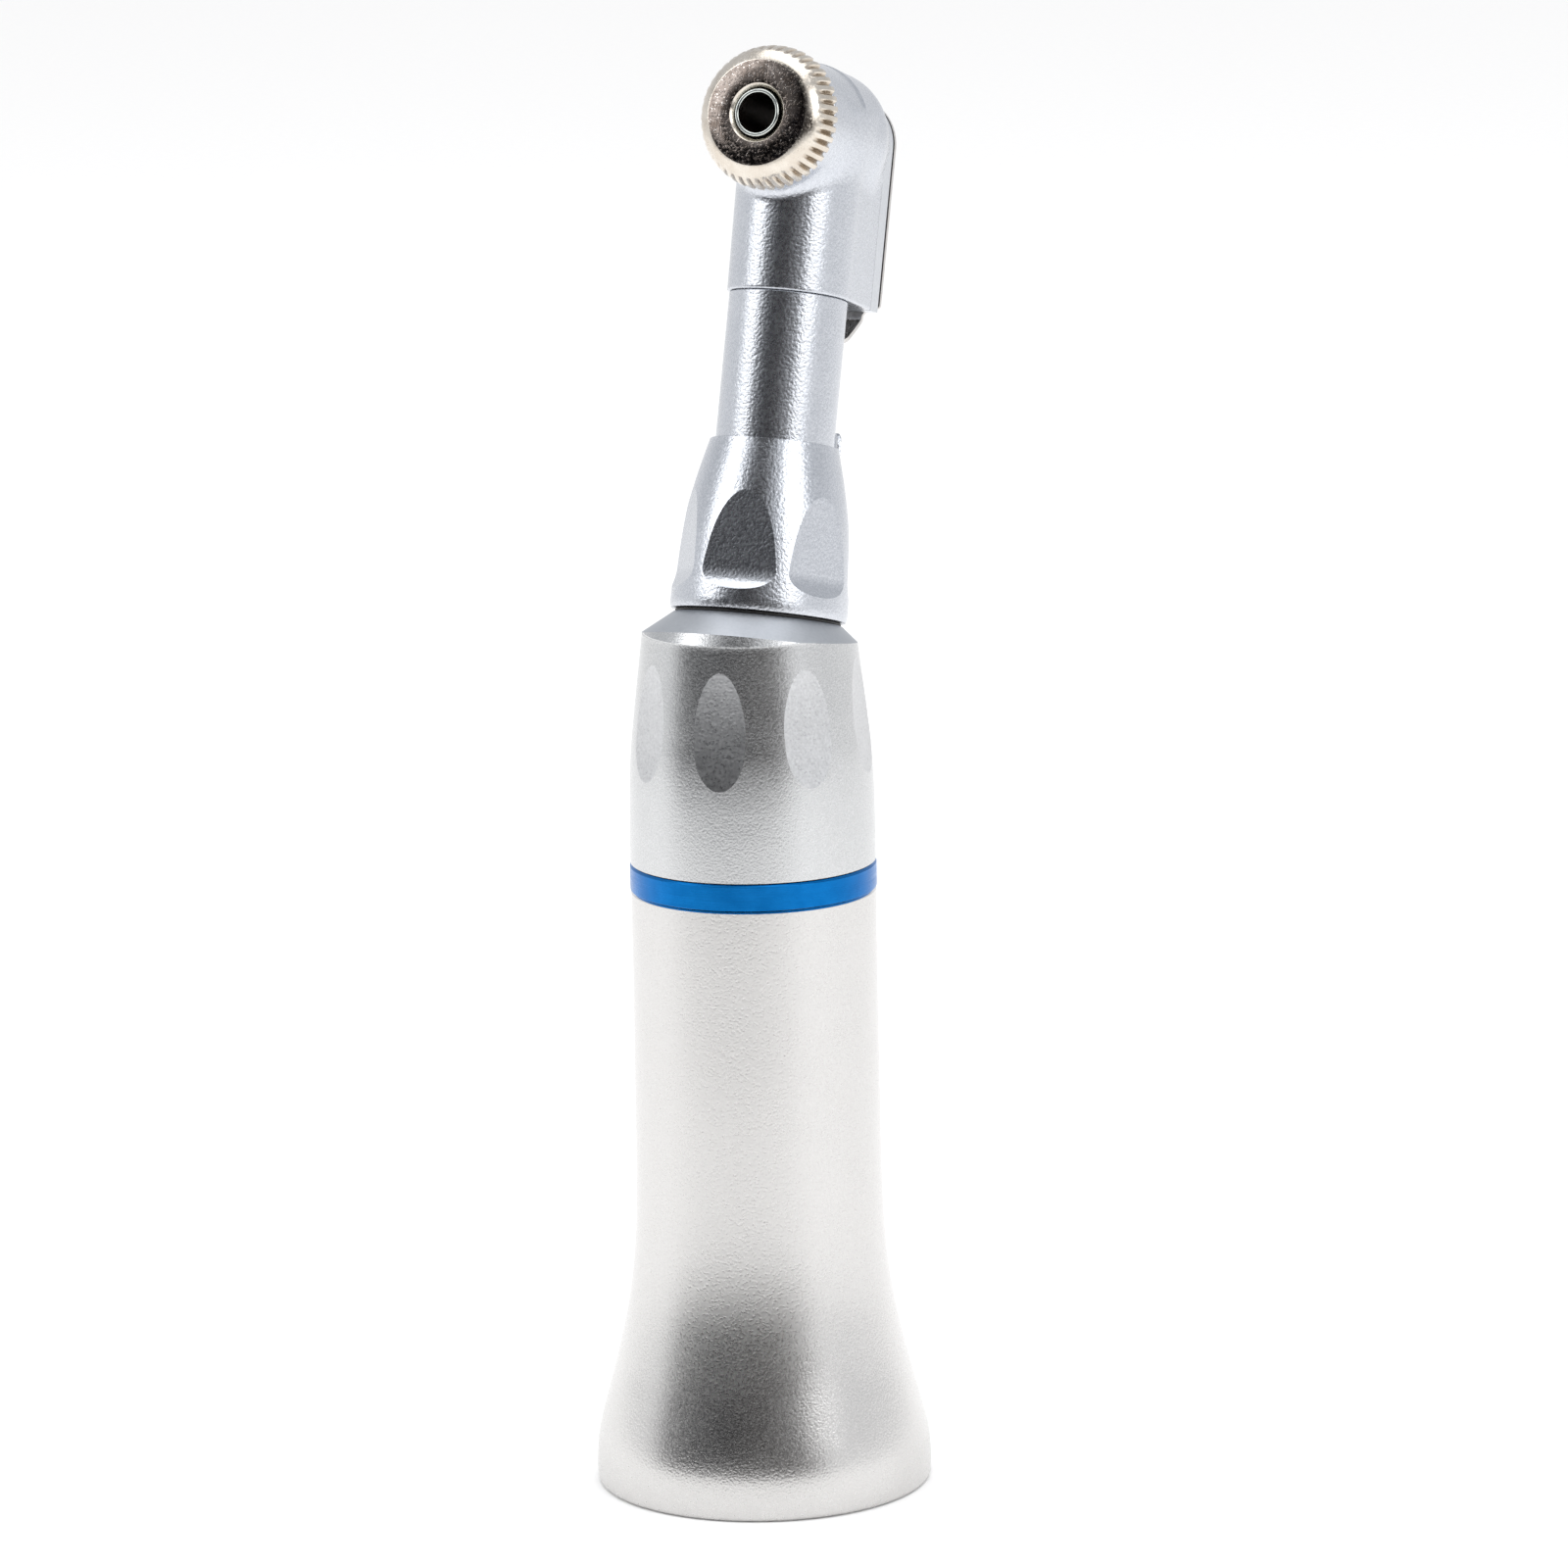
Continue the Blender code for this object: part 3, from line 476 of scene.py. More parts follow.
def turned_metal(name, dark, light, roughness, ring_mm=0.12, depth_mm=0.0012, axis=2):
    """Machined metal with fine turning marks round its axis."""
    finish = Finish(name, light, 1.0, roughness)
    stretch = [0.03, 0.03, 0.03]
    stretch[axis] = 1.0
    rings = finish.noise(ring_mm, 2.0, stretch)
    finish.tones(finish.noise(1.6, 3.0), dark, light)
    finish.roughen(rings, roughness * 0.75, roughness * 1.3)
    finish.relief(rings, depth_mm)
    return finish.material


def anodised(name):
    finish = Finish(name, (0.01, 0.16, 0.5), 1.0, 0.28)
    rings = finish.noise(0.1, 1.0, (0.03, 0.03, 1.0))
    finish.tones(finish.noise(1.2), (0.004, 0.13, 0.4), (0.006, 0.155, 0.46))
    finish.roughen(rings, 0.24, 0.34)
    finish.relief(rings, 0.001)
    return finish.material


def scuffed_nickel(name, dark, light, roughness):
    """Bright nickel painted dark brown as shade, with bright specks painted as glints; specks and short
    scratches from handling roughen and dent it.
    """
    finish = Finish(name, light, 1.0, roughness)
    specks = finish.noise(0.16, 3.0)
    patches = finish.noise(0.9, 3.0)
    scratches = finish.math(
        "MAXIMUM", finish.noise(0.25, 1.0, (1.0, 0.08, 1.0)), finish.noise(0.25, 1.0, (0.08, 1.0, 1.0)),
    )
    # Painted glints: small specks painted near white
    painted_glints = finish.span(finish.noise(0.1), 0.0, 1.0, 0.6, 0.7)
    tone = finish.math("MAXIMUM", finish.span(patches, 0.0, 0.6, 0.3, 0.7), painted_glints)
    # The dark and light tones are painted shade; the last stop colours the painted glints
    finish.colours(tone, (0.0, dark), (0.6, light), (1.0, (0.8, 0.77, 0.74)))
    finish.roughen(specks, roughness * 0.6, roughness * 1.9, 0.35, 0.75)
    pitted = finish.bump(finish.ramp(specks, [(0.56, BLACK), (0.66, WHITE)]), 0.004)
    finish.relief(finish.ramp(scratches, [(0.66, WHITE), (0.72, BLACK)]), 0.003, pitted)
    return finish.material


def knurled_nickel(name):
    """Bright warm nickel; the grooves between its ribs are painted dark brown as painted shade, fading out
    towards the top.
    """
    finish = Finish(name, (0.66, 0.6, 0.52), 1.0, 0.22)
    split = finish.add("ShaderNodeSeparateXYZ", Vector=finish.coords).outputs
    angle = finish.math("ARCTAN2", split["Y"], split["X"])
    wave = finish.math("COSINE", finish.math("MULTIPLY", angle, float(CAP_KNURLS)))
    specks = finish.noise(0.14, 3.0)
    # Painted shade in the grooves: darkest at the groove bottoms, none above the top heights
    unshaded = finish.math(
        "MAXIMUM", finish.span(wave, 0.15, 1.0, -1.0, -0.05),
        finish.span(split["Z"], 0.0, 1.0, GROOVE_SHADE_TOP[0] * MM, GROOVE_SHADE_TOP[1] * MM),
    )
    tone = finish.math("MULTIPLY", unshaded, finish.span(finish.noise(0.8, 3.0), 0.75, 1.0, 0.3, 0.7))
    finish.colours(tone, (0.0, (0.2, 0.15, 0.1)), (0.6, (0.55, 0.48, 0.4)), (1.0, (0.72, 0.67, 0.6)))
    finish.roughen(specks, 0.14, 0.3, 0.35, 0.7)
    finish.relief(finish.ramp(specks, [(0.58, BLACK), (0.68, WHITE)]), 0.003)
    return finish.material


def grained(name, colour, metallic, roughness, grain_mm, tones, rough, depth_mm):
    """A plain finish with a fine grain, such as rubber or resin."""
    finish = Finish(name, colour, metallic, roughness)
    grain = finish.noise(grain_mm)
    finish.tones(grain, *tones)
    finish.roughen(grain, *rough)
    finish.relief(grain, depth_mm)
    return finish.material


def floor_paper(name):
    finish = Finish(name, (0.9, 0.9, 0.9), 0.0, 0.9)
    grain = finish.noise(1.5)
    finish.tones(grain, (0.895, 0.895, 0.9), (0.91, 0.91, 0.91))
    finish.relief(grain, 0.01)
    return finish.material


# --- Handle ---

SLEEVE_BORE = 6.75
SLEEVE_TOP = 37.1
GRIP_FOOT = 38.82
GRIP_TOP = 52.93
CHAMBER_RADIUS = 5.55
CHAMBER_NECK = 4.2
# The grip's tilted nose, on the neck's axis: a cone with a chamfered front edge
NOSE_BASE = 8.3
NOSE_TAPER = 0.36
NOSE_TALL = 10.0
NOSE_LIMIT = 6.455
NOSE_FRONT = 4.9
NOSE_RIM = 5.15
NOSE_MOUTH = 4.3
NOSE_BORE = 3.75
CHAMFER_SLOPE = 1.24
CHAMFER_SURFACE = 4

SLEEVE_WALL = [
    (10.27, 0.35), (10.3, 1.2), (10.22, 2.5), (10.0, 3.7), (9.7, 4.9), (9.36, 6.1), (9.03, 7.4), (8.72, 8.6),
    (8.45, 9.8), (8.2, 11.0), (7.98, 12.2), (7.83, 13.4), (7.71, 14.7), (7.62, 15.9), (7.55, 18.3),
    (7.51, 21.0), (7.49, 25.6), (7.45, 31.0), (7.46, 36.98),
]
GRIP_WALL = [
    (7.47, 38.9), (7.46, 41.0), (7.44, 42.4), (7.41, 43.6), (7.35, 44.9), (7.26, 46.1), (7.13, 47.3),
    (7.0, 48.5), (6.83, 49.9), (6.66, 51.3), (6.47, 52.93),
]
COLLAR_WALL = [
    (5.4, 5.5), (5.38, 6.3), (5.31, 7.5), (5.22, 8.7), (5.1, 9.9), (4.93, 11.1), (4.71, 12.3), (4.45, 13.5),
    (4.15, 14.7), (3.99, 15.3),
]


def profile_function(points):
    """The smooth radius of a wall at any height."""
    curve = np.array(spline(points, 0.05))
    return lambda height: np.interp(height, curve[:, 1], curve[:, 0])


def eased(points, reach, start):
    """Even out a wall's curvature over reach, above the height start, so its reflections flow."""
    points = np.array(points)
    height = points[:, 1]
    weight = np.exp(-0.5 * ((height[:, None] - height[None, :]) / reach) ** 2)
    mirror = 2 * height[-1] - height
    weight_end = np.exp(-0.5 * ((height[:, None] - mirror[None, :]) / reach) ** 2)
    even = (weight + weight_end) @ points[:, 0] / (weight + weight_end).sum(1)
    share = np.clip((height - start) / 3.0, 0.0, 1.0)
    radius = points[:, 0] * (1 - share) + even * share
    return list(zip(radius, height))


def make_rear_sleeve(m):
    wall = eased(spline(SLEEVE_WALL), 1.1, 3.5)
    outside = fillet([(6.95, 0.0), (10.27, 0.0), (10.27, 0.35)], {1: 0.3})[:-1] + wall
    inside = [(7.33, SLEEVE_TOP), (SLEEVE_BORE, SLEEVE_TOP), (SLEEVE_BORE, 0.25)]
    steps = 192
    mesh = turned_mesh("rear_sleeve_shell", outside + inside, steps, closed=True)
    for face in range((len(outside) - 1) * steps, len(outside) * steps):
        mesh.polygons[face].material_index = 1
    new_object(
        "rear_sleeve_shell", mesh, HANDLE, [m["sleeve"], m["polished"]], "handle", "sleeve_steel",
        "rear_sleeve",
    )


def make_speed_ring(m):
    path = fillet(
        [(SLEEVE_BORE, 37.16), (7.5, 37.16), (7.5, 38.62), (7.38, 38.76), (SLEEVE_BORE, 38.76)],
        {1: 0.05, 2: 0.04, 3: 0.04},
    )
    mesh = turned_mesh("speed_ring_band", path, closed=True)
    new_object("speed_ring_band", mesh, HANDLE, [m["blue"]], "handle", "blue_anodised", "speed_ring")


def make_front_grip(m):
    wall = spline(GRIP_WALL, 0.3)
    bottom = fillet([wall[0], (7.47, GRIP_FOOT), (6.6, GRIP_FOOT)], {1: 0.04}, 4)[1:]
    path = [(0.0, GRIP_TOP)] + list(reversed(wall)) + bottom + [(6.6, 38.4), (0.0, 38.4)]
    body = closed_turn("grip_body", path, 240)
    tip = NOSE_BASE - NOSE_TAPER * NOSE_TALL
    nose = closed_turn("grip_nose", [(0.0, NOSE_TALL), (tip, NOSE_TALL), (NOSE_BASE, 0.0), (0.0, 0.0)], 200)
    limit = rod("grip_limit", NOSE_LIMIT, 66.0, 46.0, 220)
    nose = joined("grip_nose", nose, NECK, [("INTERSECT", limit, twisted(HANDLE, 0.7))])
    trimmer = closed_turn(
        "grip_trimmer",
        [
            (9.0, 12.0), (9.0, 3.2), (7.26, 3.2), (NOSE_RIM, NOSE_FRONT), (NOSE_MOUTH, NOSE_FRONT),
            (NOSE_MOUTH, 12.0),
        ],
        200,
    )
    bore = rod("grip_bore", NOSE_BORE, 12.0, -3.0, 96)
    chamber = closed_turn(
        "grip_chamber",
        [
            (0.0, 49.8), (CHAMBER_NECK, 49.8), (CHAMBER_NECK, 44.5), (CHAMBER_RADIUS, 44.5),
            (CHAMBER_RADIUS, 38.0), (0.0, 38.0),
        ],
        96,
    )
    mesh = joined(
        "front_grip_shell", body, HANDLE,
        [
            ("UNION", nose, NECK), ("DIFFERENCE", trimmer, twisted(NECK, 0.4)),
            ("DIFFERENCE", grip_dishes(), HANDLE), ("DIFFERENCE", bore, twisted(NECK, 1.1)),
            ("DIFFERENCE", chamber, twisted(HANDLE, 1.3)),
        ],
    )
    to_neck = from_axis(NECK)
    wall_radius = profile_function(GRIP_WALL)

    def about_neck(points):
        return about(to_neck(points))

    def up_neck(points):
        return to_neck(points)[:, 2]

    surfaces = [
        lambda p: about(p) - wall_radius(p[:, 2]),
        lambda p: p[:, 2] - GRIP_TOP,
        lambda p: about_neck(p) - NOSE_BASE + up_neck(p) * NOSE_TAPER,
        lambda p: about(p) - NOSE_LIMIT,
        lambda p: about_neck(p) - NOSE_RIM + (up_neck(p) - NOSE_FRONT) * CHAMFER_SLOPE,
        lambda p: up_neck(p) - NOSE_FRONT,
        lambda p: about_neck(p) - NOSE_MOUTH,
        lambda p: about_neck(p) - NOSE_BORE,
        lambda p: about(p) - CHAMBER_RADIUS,
        lambda p: p[:, 2] - GRIP_FOOT,
    ]
    spots = {CHAMFER_SURFACE: 2}
    for index in range(GRIP_DISHES):
        spots[len(surfaces)] = 1
        surfaces.append(dish_surface(index))
    set_normals(mesh, surfaces, spots)
    new_object(
        "front_grip_shell", mesh, HANDLE, [m["grip"], m["dish"], m["chamfer"]], "handle", "grip_steel",
        "front_grip",
    )


GRIP_DISHES = 8
DISH_HALF = (2.1, 4.4)
DISH_DEPTH = 0.18
DISH_CURVES = (0.004, 0.021)
DISH_TURN = math.radians(-79.5)
DISH_LEAN = math.radians(-6.2)
DISH_OUT = 7.08
DISH_UP = 47.7


def twisted(place, degrees):
    return place @ Matrix.Rotation(math.radians(degrees), 4, "Z")


def dish_place(index):
    turn = Matrix.Rotation(math.tau * index / GRIP_DISHES + DISH_TURN, 4, "Z")
    return turn @ Matrix.Translation((DISH_OUT * MM, 0.0, DISH_UP * MM)) @ Matrix.Rotation(DISH_LEAN, 4, "Y")


def dish_floor(across, up):
    """How far out from the wall the dish's shallow hollow lies, on the dish's own axes."""
    return DISH_CURVES[0] * across ** 2 / 2 + DISH_CURVES[1] * up ** 2 / 2 - DISH_DEPTH


def grip_dishes():
    """Eight cutters, each a block whose inner face is the dish's hollow."""
    columns, rows = 11, 19
    bm = bmesh.new()
    for index in range(GRIP_DISHES):
        place = dish_place(index)
        layers = []
        for outer in (False, True):
            grid = []
            for across in np.linspace(-DISH_HALF[0], DISH_HALF[0], columns):
                line = []
                for up in np.linspace(-DISH_HALF[1], DISH_HALF[1], rows):
                    out = 1.6 if outer else dish_floor(across, up)
                    line.append(bm.verts.new(place @ (Vector((out, across, up)) * MM)))
                grid.append(line)
            layers.append(grid)
        for i in range(columns - 1):
            for j in range(rows - 1):
                for grid in layers:
                    bm.faces.new((grid[i][j], grid[i + 1][j], grid[i + 1][j + 1], grid[i][j + 1]))
        inner, outer = layers
        for j in range(rows - 1):
            for i in (0, columns - 1):
                bm.faces.new((inner[i][j], inner[i][j + 1], outer[i][j + 1], outer[i][j]))
        for i in range(columns - 1):
            for j in (0, rows - 1):
                bm.faces.new((inner[i][j], inner[i + 1][j], outer[i + 1][j], outer[i][j]))
    bmesh.ops.recalc_face_normals(bm, faces=bm.faces)
    return mesh_of("grip_dishes", bm)


def dish_surface(index):
    convert = from_axis(dish_place(index))

    def surface(points):
        local = convert(points)
        return local[:, 0] - dish_floor(local[:, 1], local[:, 2])

    return surface


# --- Collar and neck ---

COLLAR_FLATS = 6
COLLAR_FLAT_ANGLE = math.radians(-81.3)
COLLAR_FOOT = 5.12
COLLAR_TOP = 15.6
COLLAR_BORE = 3.72
COLLAR_RECESS = 4.5
RECESS_TOP = 11.3
FLAT_END = 7.62
RUN_OUT = 1.36
SCALLOP_RADIUS = 1.8
# The lip's middle and half width, in degrees about the neck
LIP_ANGLE = 50.0
LIP_HALF = 9.5
LIP_TOP = 16.75


def flat_depth(height):
    """How far from the collar's axis the milled flat is, with its round run-out at the bottom."""
    below = np.clip(FLAT_END - height, 0.0, RUN_OUT)
    return 4.78 - 0.1 * (height - 7.5) / 6.1 + SCALLOP_RADIUS - np.sqrt(SCALLOP_RADIUS ** 2 - below ** 2)


def collar_flats():
    heights = [13.8, 12.0, 10.0, 8.0, FLAT_END]
    heights += [FLAT_END - RUN_OUT * t for t in np.linspace(0.06, 1.0, 14)]
    outline = [(float(flat_depth(np.array(h))), h) for h in heights]
    outline += [(8.0, heights[-1]), (8.0, heights[0])]
    upright = Matrix.Translation((0.0, 3.0 * MM, 0.0)) @ Matrix.Rotation(math.pi / 2, 4, "X")
    flat = prism_mesh("collar_flat", outline, 6.0, Matrix.Rotation(COLLAR_FLAT_ANGLE, 4, "Z") @ upright)
    bm = bmesh.new()
    for _ in range(COLLAR_FLATS):
        bm.from_mesh(flat)
        flat.transform(Matrix.Rotation(math.tau / COLLAR_FLATS, 4, "Z"))
    return mesh_of("collar_flats", bm)


def collar_flat_surface(index):
    angle = math.tau * index / COLLAR_FLATS + COLLAR_FLAT_ANGLE

    def surface(points):
        out = points[:, 0] * math.cos(angle) + points[:, 1] * math.sin(angle)
        return out - flat_depth(points[:, 2])

    return surface


def make_lock_collar(m):
    wall = spline(COLLAR_WALL, 0.25)
    bottom = fillet([(4.9, COLLAR_FOOT), (5.33, COLLAR_FOOT), COLLAR_WALL[0]], {1: 0.1}, 4)[:-1]
    top = fillet([COLLAR_WALL[-1], (3.92, COLLAR_TOP), (COLLAR_BORE, COLLAR_TOP)], {1: 0.1}, 4)[1:]
    path = [(COLLAR_RECESS, COLLAR_FOOT)] + bottom + wall + top
    path += [(COLLAR_BORE, RECESS_TOP), (COLLAR_RECESS, RECESS_TOP)]
    body = closed_turn("collar_body", path, 256)
    mesh = joined("lock_collar_shell", body, NECK, [("DIFFERENCE", collar_flats(), twisted(NECK, 0.013))])
    wall_radius = profile_function([(5.33, COLLAR_FOOT)] + COLLAR_WALL + [(3.92, COLLAR_TOP)])

    surfaces = [
        lambda p: about(p) - wall_radius(p[:, 2]),
        lambda p: about(p) - COLLAR_BORE,
        lambda p: about(p) - COLLAR_RECESS,
        lambda p: p[:, 2] - COLLAR_FOOT,
        lambda p: p[:, 2] - COLLAR_TOP,
        lambda p: p[:, 2] - RECESS_TOP,
    ]
    surfaces += [collar_flat_surface(index) for index in range(COLLAR_FLATS)]
    set_normals(mesh, surfaces)
    new_object("lock_collar_shell", mesh, NECK, [m["chrome"]], "collar", "satin_chrome", "lock_collar")


def make_collar_lip(m):
    """The small raised lip on the collar's rim, with a rounded top."""
    inner, outer, foot = 3.93, 4.15, 14.9
    verts = []
    angles = np.radians(np.linspace(LIP_ANGLE - LIP_HALF, LIP_ANGLE + LIP_HALF, 13))
    for angle in angles:
        across = abs(math.degrees(angle) - LIP_ANGLE) / LIP_HALF
        top = LIP_TOP - 0.35 * across ** 3
        outline = [
            (inner, foot), (inner, top - 0.05), (inner + 0.06, top), (outer - 0.06, top), (outer, top - 0.07),
            (outer + 0.04, 15.5), (outer + 0.02, foot),
        ]
        verts += [(r * math.cos(angle), r * math.sin(angle), z) for r, z in outline]
    count = len(outline)
    faces = []
    for low in range(0, len(verts) - count, count):
        faces += band(low, low + count, count)
    faces += [tuple(range(count)), tuple(range(len(verts) - count, len(verts)))[::-1]]
    mesh = mesh_from("collar_lip", verts, faces)
    face_outwards(mesh)
    mesh.set_sharp_from_angle(angle=math.radians(40.0))
    new_object("collar_lip", mesh, NECK, [m["chrome"]], "collar", "satin_chrome")


def make_nose_seal(m):
    path = fillet([(4.45, 4.93), (5.04, 4.93), (5.04, 5.08), (4.45, 5.08)], {1: 0.06, 2: 0.06})
    mesh = turned_mesh("nose_seal_ring", path, 128, closed=True)
    new_object("nose_seal_ring", mesh, NECK, [m["rubber"]], "handle", "black_rubber", "nose_seal")


def make_neck_tube(m):
    path = fillet(
        [
            (3.0, 2.2), (3.6, 2.2), (3.6, 10.15), (4.3, 10.15), (4.3, 11.05), (3.6, 11.05),
            (3.6, SEAM - 0.04), (3.35, SEAM - 0.04), (3.35, 28.0), (3.0, 28.0),
        ],
        {1: 0.08, 3: 0.06, 4: 0.06, 6: 0.07},
    )
    mesh = turned_mesh("neck_tube_shell", path, 160, closed=True)
    new_object("neck_tube_shell", mesh, NECK, [m["chrome"]], "handle", "satin_chrome", "neck_tube")


# --- Head ---

HEAD_VOXEL = 0.11
HEAD_BACK = -5.1
FIN_FRONT = -0.444
# Distances from the bur's axis at these distances from the head's middle, towards the back
BARREL_DEPTHS = [-9.0, 2.6, 3.1, 3.6, 4.1, 4.5, 4.8, 5.2]
BARREL_RADII = [4.1, 4.1, 4.06, 3.93, 3.72, 3.5, 3.32, 3.05]
SCREW_BORE = 0.65
LATCH_HALF = 3.15
LATCH_SHEET = -6.475
CAP_KNURLS = 43
CAP_FACE = 6.84
CAP_BORE = 1.57
TUBE_BORE = 1.2

def smooth_min(a, b, k):
    h = np.clip(0.5 + 0.5 * (b - a) / k, 0.0, 1.0)
    return b * (1 - h) + a * h - k * h * (1 - h)


def smooth_max(a, b, k):
    return -smooth_min(-a, -b, k)


def head_shape(points):
    """Signed distance, roughly, from the head's blended surface; points are on the bur's axis."""
    x, y, z = points[:, 0], points[:, 1], points[:, 2]
    radius = np.hypot(x, y)
    wall = np.interp(-z, BARREL_DEPTHS, BARREL_RADII)
    barrel = smooth_max(radius - wall, smooth_max(z - 4.5, HEAD_BACK - z, 0.05), 0.22)
    along = y + HEAD_DISTANCE
    around = np.hypot(x, z)
    sleeve = smooth_max(around - (3.75 + (along - SEAM) * 0.0099), SEAM - along, 0.12)
    sleeve = smooth_max(sleeve, y - 1.0, 0.5)
    width = 3.724 + 0.1192 * (z - FIN_FRONT)
    side = np.where(y > 0.0, radius, np.abs(x))
    fin = smooth_max(side - width, HEAD_BACK - z, 0.08)
    fin = smooth_max(fin, HEAD_SEAM - y, 0.12)
    fin = np.maximum(fin, z - FIN_FRONT)
    shape = smooth_min(barrel, np.minimum(sleeve, fin), 0.9)
    bur_bore = np.minimum(smooth_max(radius - 3.35, -2.85 - z, 0.05), radius - 2.5)
    neck_bore = smooth_max(around - 3.02, y, 0.05)
    neck_mouth = smooth_max(around - 3.42, along - 28.1, 0.05)
    bores = np.minimum(bur_bore, np.minimum(neck_bore, neck_mouth))
    screw = np.maximum(np.hypot(x, y - LATCH_PIVOT) - SCREW_BORE, z + 4.2)
    return np.maximum(shape, -np.minimum(bores, screw))


def make_head(m):
    """The head is the CAD head's skin, remeshed finely and drawn onto the blended shape."""
    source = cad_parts["head_housing"].data.copy()
    source.transform(BUR.inverted())
    shell = placed("head_remesh", source)
    remesh = shell.modifiers.new("remesh", "REMESH")
    remesh.mode = "VOXEL"
    remesh.voxel_size = HEAD_VOXEL * MM
    mesh = evaluated(shell)
    bpy.data.objects.remove(shell)
    points = read(mesh.vertices, "co", 3, float) / MM
    for _ in range(12):
        slope = slope_of(head_shape, points)
        move = -(head_shape(points) / (np.sum(slope ** 2, 1) + 1e-6))[:, None] * slope
        length = np.linalg.norm(move, axis=1)[:, None] + TINY
        points += move * np.minimum(1.0, 0.12 / length)
    mesh.vertices.foreach_set("co", (points * MM).ravel())
    mesh.shade_smooth()
    mesh.update()
    mesh.materials.clear()
    slope = slope_of(head_shape, points, 0.02)
    slope /= np.linalg.norm(slope, axis=1)[:, None] + TINY
    mesh.normals_split_custom_set_from_vertices([tuple(n) for n in slope])
    new_object("head_shell", mesh, BUR, [m["chrome"]], "handle", "satin_chrome", "head_housing")


def arch(half, top, bottom, corner, points=40):
    """A plate's outline with a round top and one bevelled corner."""
    outline = [(-half, bottom + corner), (corner - half, bottom), (half, bottom)]
    for index in range(points + 1):
        angle = math.pi * index / points
        outline.append((half * math.cos(angle), top - half + half * math.sin(angle)))
    return outline


def bevelled(obj, width, segments=3, angle=30.0):
    bevel = obj.modifiers.new("bevel", "BEVEL")
    bevel.width = width * MM
    bevel.segments = segments
    bevel.limit_method = "ANGLE"
    bevel.angle_limit = math.radians(angle)
    bevel.harden_normals = True
    obj.data.shade_smooth()


def make_back_plate(m):
    outline = arch(3.12, 3.12, HEAD_SEAM, 0.7)
    plate = prism_mesh("back_plate_slab", outline, 1.04, Matrix.Translation((0.0, 0.0, -6.2 * MM)))
    hole = rod("plate_hole", 1.75, -4.0, -8.0, 64)
    screw = rod("plate_screw_hole", SCREW_BORE, -4.0, -8.0, 48)
    mesh = joined("back_plate_slab", plate, BUR, [("DIFFERENCE", hole, BUR), ("DIFFERENCE", screw, LATCH)])
    piece = new_object("back_plate_slab", mesh, BUR, [m["plate"]], "handle", "satin_chrome", "back_plate")
    bevelled(piece, 0.035)


def latch_rows():
    """Half-width, height and inward rise of the latch sheet, from its round top to its tail."""
    rows = []
    for degrees in [*range(86, 0, -6), 0]:
        angle = math.radians(degrees)
        rows.append((LATCH_HALF * math.cos(angle), LATCH_HALF * math.sin(angle), 0.0))
    rows += [(LATCH_HALF, float(height), 0.0) for height in np.linspace(-0.6, HEAD_SEAM + 0.45, 14)]
    for t in np.linspace(0.0, 1.0, 7)[1:]:
        rows.append((LATCH_HALF - 0.35 * (1 - math.cos(t * math.pi / 2)), HEAD_SEAM + 0.45 - 0.3 * t, 0.0))
    rows += [(2.15, HEAD_SEAM, 0.0), (2.03, HEAD_SEAM - 0.2, 0.0), (2.0, HEAD_SEAM - 0.45, 0.0)]
    for t in np.linspace(0.0, 1.0, 10)[1:]:
        rows.append((2.0 - 0.12 * t, HEAD_SEAM - 0.45 - 1.4 * t, 1.5 * t ** 1.15))
    return rows + [(1.75, -12.15, 1.68), (1.4, -12.3, 1.8)]


def make_latch(m):
    bm = bmesh.new()
    last = None
    columns = 9
    for half, height, rise in latch_rows():
        place = Vector((0.0, height - LATCH_PIVOT, LATCH_SHEET + rise))
        row = [
            bm.verts.new((place + Vector((half * (2 * i / (columns - 1) - 1), 0.0, 0.0))) * MM)
            for i in range(columns)
        ]
        if last:
            for i in range(columns - 1):
                bm.faces.new((last[i], last[i + 1], row[i + 1], row[i]))
        last = row
    bmesh.ops.recalc_face_normals(bm, faces=bm.faces)
    holder = placed("latch_holder", mesh_of("latch_sheet", bm))
    thickness = holder.modifiers.new("thickness", "SOLIDIFY")
    thickness.thickness = 0.25 * MM
    thickness.offset = 0.0
    solid = evaluated(holder)
    bpy.data.objects.remove(holder)
    half, deep = 0.85, -4.2
    bend = np.linspace(-math.pi / 2, math.pi / 2, 25)[1:-1]
    slot = [(deep, -half), (0.0, -half)]
    slot += [(half * math.cos(angle), half * math.sin(angle)) for angle in bend]
    slot += [(0.0, half), (deep, half)]
    notch = prism_mesh("latch_notch", slot, 2.0, Matrix.Translation((0.0, 0.0, -7.4 * MM)))
    hole = rod("latch_hole", SCREW_BORE, -4.0, -8.0, 48)
    mesh = joined("latch_plate", solid, LATCH, [("DIFFERENCE", notch, BUR), ("DIFFERENCE", hole, LATCH)])
    piece = new_object("latch_plate", mesh, LATCH, [m["latch"]], "latch", "latch_steel", "latch_lever")
    bevelled(piece, 0.05, 2, 50.0)


def make_latch_screw(m):
    path = [(0.0, -4.5), (0.55, -4.5), (0.55, -6.66), (1.35, -6.66), (1.35, -6.9)]
    dome = [(1.35, -6.92), (1.3, -7.0), (1.15, -7.08), (0.8, -7.14), (0.4, -7.16), (0.0, -7.16)]
    body = closed_turn("latch_screw_body", path + dome, 64)
    slot = box_mesh("latch_screw_slot", (3.2, 0.34, 0.4), -7.1, 0.6)
    mesh = joined("latch_screw_head", body, LATCH, [("DIFFERENCE", slot, LATCH)])
    piece = new_object(
        "latch_screw_head", mesh, LATCH, [m["polished"]], "handle", "latch_steel", "latch_screw",
    )
    bevelled(piece, 0.03, 2, 40.0)


